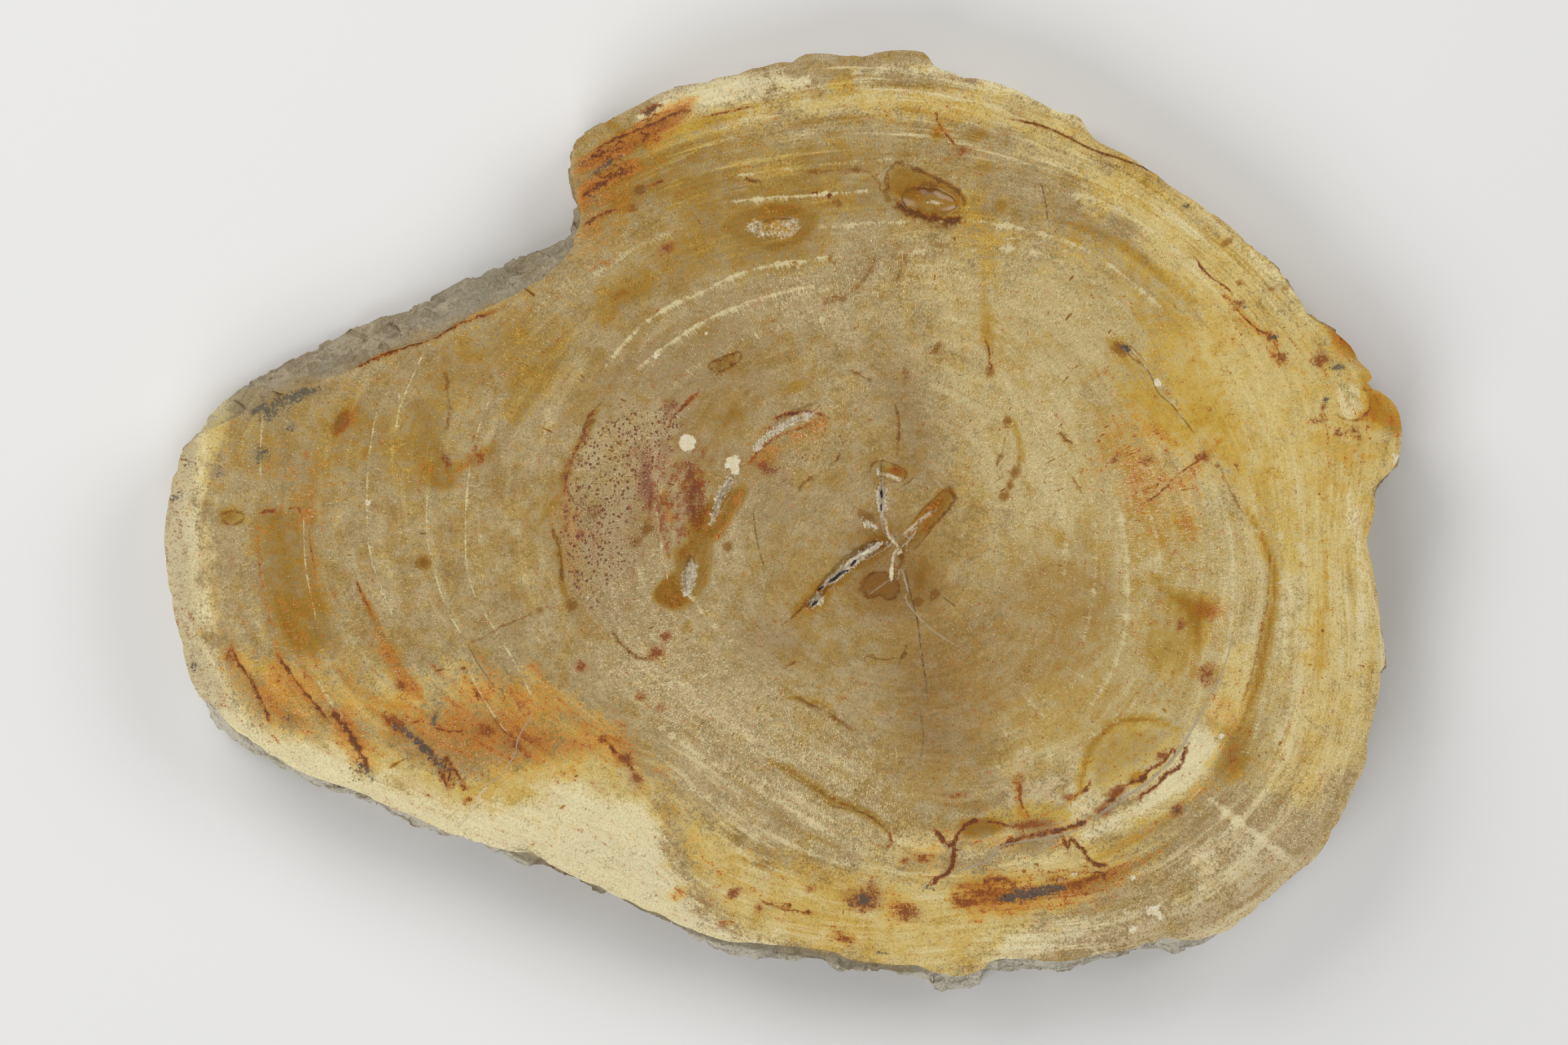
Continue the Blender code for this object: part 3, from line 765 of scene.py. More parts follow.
# %% Golden olive
OLIVE_AREAS = [
    (6, 1.15, [(984, 905), (980, 888), (996, 868), (1012, 862), (1032, 900), (1012, 916)]),
    (40, 0.56, [(880, 300), (960, 240), (1100, 222), (1300, 205), (1330, 260), (1250, 290), (1240, 390),
        (1180, 425), (1090, 415), (1020, 425), (985, 440), (975, 400), (1000, 365), (1010, 335), (960, 330),
        (900, 345)]),
    (26, 0.6, [(880, 450), (940, 400), (985, 400), (990, 440), (950, 475), (905, 490), (880, 475)]),
    (26, 0.6, [(905, 262), (960, 222), (1050, 196), (1090, 218), (1040, 262), (960, 292), (900, 300)]),
    (20, 0.5, [(1210, 262), (1290, 255), (1330, 280), (1330, 320), (1280, 330), (1215, 310)]),
    (40, 0.46, [(1560, 330), (1640, 345), (1720, 390), (1800, 450), (1810, 560), (1790, 625), (1700, 620),
        (1680, 560), (1690, 500), (1640, 420), (1560, 390)]),
    (14, 0.55, [(858, 500), (825, 512), (785, 540), (762, 575), (757, 630), (782, 640), (810, 600),
        (838, 560), (852, 525)]),
    (16, 0.6, [(610, 600), (640, 590), (668, 600), (667, 650), (655, 690), (620, 690), (606, 650)]),
    (8, 0.6, [(616, 665), (660, 655), (680, 690), (700, 690), (745, 655), (751, 680), (715, 699),
        (697, 708), (690, 735), (640, 736), (625, 715)]),
    (18, 0.62, [(384, 765), (420, 758), (456, 765), (464, 800), (476, 850), (494, 900), (502, 950),
        (482, 985), (440, 985), (410, 950), (392, 890), (383, 830)]),
    (50, 0.42, [(600, 520), (700, 480), (830, 430), (850, 480), (780, 560), (720, 600), (690, 640),
        (620, 640)]),
    (40, 0.25, [(1000, 215), (1150, 170), (1300, 158), (1480, 160), (1560, 200), (1500, 225), (1300, 215),
        (1120, 235), (1020, 255)]),
    (60, 0.42, [(320, 640), (420, 560), (560, 560), (700, 620), (640, 740), (500, 740), (360, 720)]),
    (16, 1.05, [(1728, 872), (1772, 882), (1813, 898), (1822, 915), (1812, 948), (1803, 980), (1790, 975),
        (1770, 930), (1745, 900)]),
    (34, 0.55, [(1700, 870), (1815, 900), (1800, 1010), (1790, 1060), (1730, 1050), (1700, 980)]),
    (40, 0.55, [(1670, 520), (1760, 530), (1850, 600), (1890, 700), (1850, 740), (1760, 680), (1690, 620)]),
    (16, 0.7, [(1470, 1222), (1520, 1207), (1590, 1205), (1600, 1230), (1540, 1245), (1480, 1240)]),
    (6, 0.95, [(1440, 1232), (1475, 1226), (1500, 1224), (1508, 1240), (1490, 1252), (1450, 1256)]),
    (5, 1.0, [(1690, 1172), (1697, 1158), (1712, 1155), (1722, 1162), (1715, 1175), (1700, 1180)]),
    (18, 0.8, [(1815, 1085), (1850, 1085), (1885, 1060), (1890, 1110), (1870, 1160), (1835, 1175),
        (1815, 1150), (1826, 1120)]),
    (24, 0.55, [(1860, 700), (1900, 690), (1945, 760), (1950, 860), (1905, 850), (1875, 770)]),
    (30, 0.42, [(1440, 290), (1500, 290), (1510, 420), (1450, 420)]),
    (44, 0.42, [(1680, 720), (1790, 735), (1835, 800), (1800, 860), (1720, 850), (1670, 790)]),
    (20, 0.45, [(1650, 1080), (1740, 1075), (1790, 1090), (1720, 1170), (1640, 1190), (1620, 1130)]),
    (8, 0.85, [(1070, 745), (1115, 725), (1120, 742), (1100, 775), (1085, 800), (1072, 815), (1070, 850),
        (1060, 880), (1040, 910), (1015, 915), (985, 905), (980, 890), (1000, 870), (1010, 850),
        (1010, 820), (1026, 812), (1030, 780)]),
    (7, 0.8, [(1330, 275), (1345, 248), (1400, 265), (1440, 290), (1442, 320), (1415, 328), (1380, 322),
        (1345, 300)]),
    (10, 0.85, [(1076, 335), (1120, 308), (1170, 300), (1220, 312), (1230, 332), (1212, 362), (1170, 380),
        (1110, 372)]),
    (7, 0.9, [(1375, 775), (1392, 752), (1408, 738), (1422, 731), (1434, 742), (1424, 760), (1412, 775),
        (1398, 796), (1372, 818), (1358, 830), (1352, 816)]),
    (8, 0.8, [(1303, 705), (1314, 692), (1330, 696), (1358, 702), (1364, 716), (1340, 722), (1322, 730),
        (1318, 772), (1312, 745), (1310, 722)]),
    (8, 0.8, [(1340, 800), (1330, 790), (1316, 800), (1302, 806), (1290, 824), (1270, 838), (1240, 862),
        (1214, 884), (1203, 905), (1208, 918), (1232, 908), (1262, 878), (1290, 856), (1322, 832),
        (1336, 822)]),
    (12, 0.95, [(1950, 410), (1985, 440), (2035, 490), (2060, 520), (2030, 540), (1990, 500), (1955, 450)]),
    (12, 0.9, [(2040, 560), (2085, 600), (2104, 640), (2085, 655), (2050, 630)]),
]
OLIVE_STREAKS = [
    (8, 1.0, [(1150, 1140), (1200, 1165), (1250, 1200), (1300, 1220), (1335, 1250)]),
    (4, 0.85, [(1180, 1045), (1240, 1060), (1260, 1090)]),
    (8, 0.95, [(1600, 1203), (1619, 1189), (1623, 1162), (1634, 1128), (1653, 1101), (1676, 1084),
        (1707, 1080), (1740, 1083), (1770, 1096)]),
    (13, 0.6, [(1640, 1290), (1690, 1268), (1740, 1240), (1770, 1215)]),
    (9, 0.8, [(1580, 330), (1650, 350), (1700, 380), (1750, 420), (1790, 455)]),
    (9, 1.0, [(1868, 760), (1895, 810), (1912, 860), (1908, 920), (1897, 975), (1882, 1035), (1858, 1095)]),
    (5, 0.9, [(1505, 618), (1522, 640), (1532, 680), (1525, 705)]),
    (7, 0.5, [(1985, 750), (1988, 850), (1985, 950), (1975, 1050)]),
    (6, 0.7, [(1905, 850), (1900, 960), (1880, 1060), (1850, 1150)]),
    (5, 0.85, [(825, 786), (838, 820), (844, 880), (858, 908)]),
    (8, 0.7, [(520, 600), (560, 640), (540, 700)]),
    (10, 0.7, [(850, 120), (960, 215), (1050, 185), (1120, 168)]),
    (7, 0.8, [(1225, 885), (1205, 905), (1190, 925)]), (10, 0.75, [(1475, 430), (1480, 480), (1485, 540)]),
    (8, 0.7, [(800, 800), (840, 740), (850, 700), (880, 650), (905, 600)]),
]
OLIVE_SPOTS = [
    (1262, 121, 24, 20, 0, 0.55), (930, 440, 34, 16, 20, 0.9), (1500, 310, 12, 9, 40, 0.9),
    (1590, 810, 8, 12, 0, 0.9), (1405, 200, 9, 16, 0, 0.8), (1460, 205, 22, 8, 10, 0.85),
    (1480, 250, 12, 10, 0, 0.8), (1192, 582, 20, 7, 25, 0.85), (1095, 625, 24, 12, 20, 0.85),
    (1085, 548, 26, 12, 22, 0.6), (1225, 900, 26, 14, 45, 1.0), (1380, 865, 22, 12, 70, 0.8),
    (1030, 940, 9, 6, 60, 0.9), (633, 845, 11, 9, 0, 1.0), (345, 775, 20, 12, 0, 0.9),
    (530, 700, 10, 8, 0, 0.7), (985, 270, 8, 6, 0, 0.8), (1680, 520, 18, 10, -30, 1.0),
    (1740, 870, 18, 10, 0, 0.8),
]
olive = field(OLIVE_AREAS, OLIVE_STREAKS, OLIVE_SPOTS)
print("golden olive covers", covered(olive), "points")

# %% Brown spots and lines
BROWN_AREAS = [
    (4, 0.75, [(1293, 873), (1308, 860), (1326, 859), (1339, 868), (1349, 882), (1344, 895), (1333, 900),
        (1322, 893), (1304, 898), (1292, 889)]),
]
BROWN_SPOTS = [
    (1860, 425, 5, 4, 0, 0.9), (1908, 435, 4, 3, 0, 0.9), (1842, 362, 9, 4, 40, 0.9),
    (1928, 432, 4, 4, 0, 0.8), (885, 634, 7, 4, 40, 1.0), (877, 657, 6, 5, 30, 1.0),
    (870, 690, 5, 4, 60, 0.9), (850, 712, 10, 4, 30, 0.8), (633, 845, 11, 9, 0, 0.6),
    (512, 634, 9, 15, -35, 0.9), (445, 588, 10, 3, 0, 0.7), (1085, 548, 22, 9, 22, 0.4),
    (1377, 903, 6, 5, 0, 1.0), (1402, 892, 7, 5, 40, 0.9), (1391, 282, 12, 7, 0, 0.75),
    (891, 769, 8, 9, 0, 1.0), (970, 795, 8, 6, 30, 1.0), (952, 815, 9, 5, 40, 1.0),
    (1092, 820, 5, 6, 0, 1.0), (1680, 524, 12, 7, -30, 0.9), (1485, 557, 5, 7, 0, 1.0),
    (1405, 522, 4, 9, -30, 0.9), (1360, 562, 3, 13, 0, 0.8), (1257, 304, 7, 4, -40, 0.9),
    (1192, 397, 4, 4, 0, 1.0), (1244, 389, 4, 4, 0, 1.0), (960, 285, 8, 5, 20, 0.9),
    (950, 312, 6, 5, 0, 0.8), (810, 916, 6, 5, 0, 0.8), (1523, 708, 5, 9, -20, 1.1),
    (1515, 729, 5, 5, 0, 1.0), (1506, 744, 6, 6, 0, 1.1), (1338, 884, 10, 12, 20, 0.8),
    (1300, 775, 12, 7, -25, 0.8), (1510, 632, 5, 7, 0, 0.9), (858, 908, 7, 7, 0, 0.9),
]
BROWN_LINES = [
    (1.6, 0.75, [(1360, 802), (1379, 770), (1400, 750), (1422, 731), (1433, 742), (1420, 765), (1405, 775),
        (1394, 797), (1378, 817), (1362, 836)]),
    (1.6, 0.8, [(1305, 712), (1308, 697), (1322, 691), (1345, 699), (1359, 708), (1353, 722), (1330, 722)]),
    (1.6, 0.7, [(1292, 882), (1296, 870), (1310, 860), (1328, 858), (1342, 868), (1349, 882), (1343, 896),
        (1330, 900), (1320, 892), (1304, 897), (1292, 886)]),
    (2.0, 0.6, [(1170, 1007), (1185, 997), (1199, 988)]),
    (2.2, 0.8, [(1345, 988), (1356, 984), (1358, 966)]),
    (2.0, 0.8, [(1294, 986), (1304, 983), (1314, 983)]),
    (2.4, 0.7, [(1187, 1043), (1220, 1060), (1250, 1075), (1285, 1100)]),
    (1.8, 0.75, [(330, 778), (338, 768), (352, 767), (364, 771), (366, 779), (355, 786), (340, 786),
        (330, 778)]),
    (1.8, 0.6, [(2040, 577), (2054, 595), (2052, 618), (2034, 631), (2012, 627), (2000, 610)]),
    (1.4, 0.5, [(2016, 596), (2028, 590), (2038, 600), (2036, 612)]),
    (2.5, 0.9, [(1588, 645), (1597, 658), (1612, 668)]),
    (2.2, 1.2, [(1116, 264), (1130, 272), (1142, 271)]),
    (2.4, 0.55, [(1905, 820), (1903, 877), (1897, 927), (1888, 965), (1876, 1018), (1859, 1064)]),
    (6.0, 1.1, [(1340, 290), (1350, 309), (1370, 321), (1398, 329), (1420, 333), (1438, 329), (1446, 312)]),
    (2.6, 0.85, [(1341, 296), (1331, 280), (1332, 258), (1348, 244), (1375, 255), (1410, 270), (1440, 290),
        (1446, 308), (1440, 322)]),
    (3.0, 0.5, [(1199, 259), (1255, 256), (1295, 256), (1320, 275), (1332, 300), (1335, 325)]),
    (4.5, 0.5, [(1321, 375), (1302, 408), (1282, 435), (1250, 450), (1222, 460)]),
    (3.0, 0.5, [(1361, 375), (1352, 405), (1341, 428)]), (3.0, 0.45, [(1394, 368), (1381, 408)]),
    (1.8, 0.8, [(1070, 560), (1062, 548), (1075, 540), (1108, 528), (1110, 540), (1085, 556), (1070, 560)]),
    (3.0, 0.9, [(1415, 732), (1428, 738), (1432, 748), (1424, 762), (1410, 778), (1396, 795)]),
    (3.0, 0.7, [(1345, 812), (1352, 835), (1350, 862)]),
    (2.0, 0.6, [(1487, 706), (1503, 680), (1508, 650)]),
    (2.4, 0.8, [(1270, 555), (1290, 562), (1310, 575)]),
    (2.2, 0.8, [(1240, 700), (1255, 690), (1262, 672)]),
    (2.2, 0.8, [(1195, 740), (1210, 720), (1222, 716)]), (2.4, 0.8, [(825, 786), (838, 819), (844, 879)]),
    (1.8, 0.5, [(699, 965), (722, 958), (748, 942), (772, 932), (808, 917)]),
    (2.2, 1.0, [(915, 942), (928, 962), (945, 978), (965, 990), (985, 980)]),
    (2.0, 0.9, [(848, 736), (868, 759), (891, 769)]), (2.2, 0.7, [(1604, 710), (1616, 730), (1629, 749)]),
    (2.5, 0.8, [(709, 1030), (722, 1052)]), (2.5, 0.8, [(739, 1076), (752, 1092), (762, 1103)]),
    (2.0, 0.7, [(750, 1030), (760, 1055)]),
    (2.0, 0.45, [(1182, 1163), (1230, 1188), (1253, 1200), (1300, 1222), (1328, 1244)]),
    (2.0, 0.7, [(1245, 400), (1252, 392)]), (2.2, 0.6, [(1826, 690), (1845, 735), (1870, 780)]),
    (2.2, 0.8, [(1190, 930), (1205, 908), (1225, 900)]),
    (2.0, 0.7, [(1345, 690), (1348, 640), (1342, 600)]),
    (3.0, 0.8, [(500, 560), (540, 545), (580, 530), (650, 505), (700, 480)]),
    (2.2, 0.6, [(668, 548), (672, 590), (674, 620), (668, 650)]),
]
brown = field(BROWN_AREAS, (), BROWN_SPOTS)
brown_side, brown_strength = thin_lines(BROWN_LINES)
keep("browns", brown_side, brown_strength, brown)

# %% Orange
ORANGE_AREAS = [
    (14, 0.75, [(1995, 490), (2040, 515), (2075, 545), (2070, 575), (2040, 560), (2000, 530)]),
    (10, 0.65, [(2075, 585), (2100, 610), (2110, 650), (2085, 655), (2070, 620)]),
    (7, 0.5, [(1375, 775), (1408, 738), (1434, 742), (1412, 775), (1372, 818), (1352, 816)]),
    (7, 0.45, [(1214, 884), (1262, 868), (1262, 885), (1232, 912), (1208, 918)]),
    (30, 0.34, [(1840, 475), (1900, 485), (1960, 500), (2020, 560), (1960, 610), (1900, 560)]),
    (38, 0.7, [(335, 960), (330, 1000), (350, 1050), (400, 1090), (470, 1095), (540, 1090), (600, 1130),
        (660, 1165), (720, 1170), (760, 1150), (860, 1130), (960, 1165), (990, 1150), (940, 1095),
        (870, 1050), (800, 1010), (720, 1000), (660, 1030), (580, 1050), (500, 1010), (440, 990),
        (390, 990)]),
    (40, 1.05, [(620, 1080), (700, 1050), (780, 1055), (860, 1085), (900, 1120), (850, 1140), (760, 1145),
        (700, 1150), (650, 1120)]),
    (14, 1.7, [(868, 245), (900, 222), (945, 196), (1005, 160), (1040, 150), (1020, 180), (985, 205),
        (950, 225), (905, 250), (872, 262)]),
    (12, 1.6, [(872, 275), (900, 262), (940, 245), (960, 252), (930, 270), (900, 285), (880, 315),
        (870, 310)]),
    (40, 0.75, [(870, 290), (930, 265), (990, 250), (970, 290), (920, 330), (872, 390)]),
    (12, 0.52, [(625, 690), (680, 682), (730, 670), (705, 705), (680, 738), (645, 735)]),
    (24, 0.42, [(405, 660), (440, 650), (470, 690), (500, 730), (500, 770), (400, 770), (390, 740)]),
    (14, 0.9, [(480, 1060), (520, 1060), (560, 1120), (570, 1160), (540, 1170), (520, 1130), (490, 1090)]),
    (50, 0.66, [(1640, 640), (1700, 620), (1760, 650), (1800, 720), (1790, 800), (1710, 780), (1660, 730)]),
    (30, 0.45, [(1930, 610), (2000, 640), (2110, 640), (2085, 690), (2040, 715), (1990, 705), (1950, 665)]),
    (18, 0.4, [(384, 765), (420, 758), (456, 765), (464, 800), (476, 850), (494, 900), (502, 950),
        (482, 985), (440, 985), (410, 950), (392, 890), (383, 830)]),
    (16, 0.85, [(1120, 700), (1150, 665), (1230, 625), (1240, 640), (1180, 680), (1130, 715)]),
    (26, 0.42, [(1960, 500), (2050, 560), (2090, 640), (2040, 650), (1990, 620), (1960, 560)]),
    (22, 0.5, [(1420, 1240), (1500, 1235), (1600, 1225), (1600, 1262), (1500, 1280), (1440, 1275)]),
    (20, 1.05, [(1425, 1345), (1450, 1316), (1490, 1308), (1530, 1322), (1600, 1318), (1660, 1300),
        (1705, 1288), (1690, 1318), (1630, 1345), (1570, 1362), (1500, 1374), (1450, 1372)]),
    (20, 0.7, [(838, 730), (866, 735), (876, 800), (866, 870), (848, 850), (840, 780)]),
    (20, 0.7, [(388, 762), (470, 755), (478, 800), (440, 780), (400, 790)]),
]
ORANGE_STREAKS = [
    (5, 0.8, [(500, 560), (540, 545), (580, 530), (650, 505), (700, 480), (760, 460)]),
    (7, 0.75, [(1118, 725), (1105, 760), (1088, 790), (1070, 815)]),
    (6, 0.8, [(992, 735), (1000, 765), (1008, 790)]), (7, 0.7, [(1045, 690), (1052, 730), (1060, 770)]),
    (16, 0.55, [(1822, 1030), (1845, 1080), (1845, 1130), (1820, 1175), (1790, 1205)]),
    (6, 1.0, [(545, 895), (563, 932), (578, 968)]),
    (12, 1.0, [(572, 950), (586, 985), (610, 1025), (640, 1055)]),
    (8, 0.75, [(1640, 1322), (1690, 1300), (1735, 1280), (1765, 1255)]),
    (9, 0.5, [(1000, 1190), (1060, 1290), (1110, 1325), (1180, 1365), (1230, 1370)]),
    (9, 0.7, [(700, 965), (740, 1010), (770, 1060)]), (9, 0.7, [(790, 980), (820, 1030), (860, 1070)]),
    (10, 0.75, [(345, 960), (370, 1020), (400, 1080)]),
    (12, 0.9, [(410, 960), (430, 1010), (470, 1060), (510, 1100)]),
    (10, 0.8, [(500, 1000), (560, 1050), (640, 1070)]),
    (9, 0.5, [(386, 765), (388, 830), (398, 900), (412, 950)]),
    (9, 0.6, [(462, 780), (474, 850), (490, 920)]),
    (13, 0.85, [(1705, 765), (1750, 735), (1800, 695), (1830, 660)]),
    (9, 0.8, [(1850, 455), (1880, 490), (1905, 505), (1920, 540), (1960, 560)]),
    (9, 0.7, [(1771, 782), (1804, 802)]), (5, 0.7, [(1521, 1163), (1528, 1200), (1532, 1228)]),
    (5, 0.75, [(1764, 1219), (1782, 1198), (1802, 1173)]),
    (6, 0.75, [(1655, 1282), (1685, 1266), (1735, 1240)]),
]
ORANGE_SPOTS = [
    (1846, 1137, 13, 28, 0, 0.75), (1843, 1040, 26, 40, 10, 0.42), (430, 1075, 50, 26, -20, 0.9),
    (775, 1098, 110, 27, -12, 1.05), (930, 1125, 50, 26, -35, 0.9), (450, 1030, 22, 16, 0, 1.0),
    (1015, 1345, 18, 8, 0, 0.8), (1400, 1290, 50, 30, 0, 0.5), (1335, 1352, 56, 24, -20, 0.6),
    (1345, 707, 12, 6, 0, 0.9), (1860, 462, 24, 7, -35, 0.6), (520, 632, 22, 12, 60, 0.85),
    (1803, 918, 30, 20, 0, 0.6), (1408, 199, 14, 12, 0, 0.8), (1268, 1408, 22, 9, -25, 0.8),
    (1021, 1340, 16, 9, 20, 0.8), (1090, 1385, 10, 5, 0, 0.8), (1040, 1090, 30, 12, 0, 0.6),
    (1010, 905, 26, 14, 0, 0.7), (1175, 640, 40, 12, 25, 0.6), (1811, 918, 20, 14, 0, 0.9),
    (702, 1200, 6, 5, 0, 1.0),
]
orange = field(ORANGE_AREAS, ORANGE_STREAKS, ORANGE_SPOTS)
keep("stain", olive, orange)

# %% Rust spots and lines
RUST_SPOTS = [
    (886, 622, 6, 4, 40, 1.0), (877, 655, 5, 4, 50, 1.0), (856, 694, 5, 4, 60, 1.0),
    (850, 730, 4, 5, 0, 1.0), (847, 760, 4, 5, 0, 1.0), (865, 862, 4, 7, 0, 1.0), (868, 880, 4, 5, 0, 1.0),
    (1036, 600, 6, 4, 40, 1.0), (1848, 1138, 6, 16, 0, 0.65), (1480, 1340, 40, 13, -8, 0.6),
    (1605, 1328, 52, 13, -14, 0.6), (1676, 1187, 11, 6, 30, 1.0), (1655, 1216, 10, 6, 10, 1.0),
    (1540, 1238, 24, 6, 5, 1.0), (1572, 1235, 9, 6, 0, 0.8), (1742, 1136, 9, 6, 40, 0.9),
    (596, 1084, 18, 10, -35, 0.9), (1601, 1196, 8, 5, 0, 0.9), (1530, 1180, 7, 16, 0, 0.6),
    (905, 1110, 7, 6, 0, 1.0), (937, 1139, 10, 7, -20, 1.2), (956, 1167, 9, 7, -20, 1.0),
    (772, 1116, 16, 12, 0, 0.7), (985, 980, 10, 8, 30, 1.0), (1000, 955, 8, 6, 30, 1.0),
    (871, 1000, 9, 6, -45, 1.0), (962, 1045, 7, 5, 0, 0.9), (990, 1060, 6, 5, 0, 0.8),
    (1811, 1012, 13, 14, 0, 0.8), (1806, 918, 14, 10, 0, 0.6), (716, 687, 13, 9, 0, 0.6),
    (600, 1030, 9, 6, -30, 0.9), (729, 1096, 12, 10, 0, 0.9), (1722, 690, 8, 6, 0, 0.8),
    (1672, 690, 10, 5, 30, 0.8), (1803, 686, 10, 6, 0, 0.9), (1295, 1350, 22, 14, 0, 1.0),
    (1360, 1370, 18, 10, 0, 0.9), (1773, 938, 7, 9, 0, 0.8), (1440, 1350, 12, 10, 0, 0.9),
    (1765, 1216, 8, 9, 0, 1.0), (1000, 372, 10, 6, 20, 0.85), (1980, 540, 10, 10, 0, 0.95),
    (1857, 456, 8, 6, 0, 1.0), (1905, 505, 7, 5, -30, 1.0), (1920, 537, 9, 6, -30, 1.0),
    (1978, 630, 8, 6, 0, 0.8), (2009, 650, 7, 5, 0, 0.9), (2030, 645, 8, 6, 0, 0.8),
    (2037, 656, 6, 4, 0, 0.8), (1101, 1340, 9, 6, 30, 1.0), (1137, 1363, 7, 5, 30, 0.8),
    (1215, 1333, 6, 4, 0, 0.9), (1084, 1387, 6, 5, 0, 0.8), (1430, 1193, 12, 8, 0, 0.5),
    (1385, 1288, 12, 7, 0, 0.9), (1357, 1291, 7, 5, 0, 0.8), (1308, 1327, 8, 6, 0, 0.7),
    (1268, 1408, 16, 7, -25, 0.8), (1455, 1353, 12, 8, 0, 0.9), (1985, 610, 4, 6, 0, 0.9),
    (345, 988, 8, 12, 0, 0.6), (848, 776, 4, 5, 0, 1.1), (864, 776, 4, 5, 0, 1.1), (848, 793, 4, 5, 0, 1.1),
    (871, 803, 5, 7, 0, 1.1), (1345, 707, 9, 4, 0, 0.95), (1155, 645, 8, 5, 0, 0.8),
    (1444, 227, 9, 5, 0, 0.8), (702, 1200, 5, 4, 0, 1.0),
]
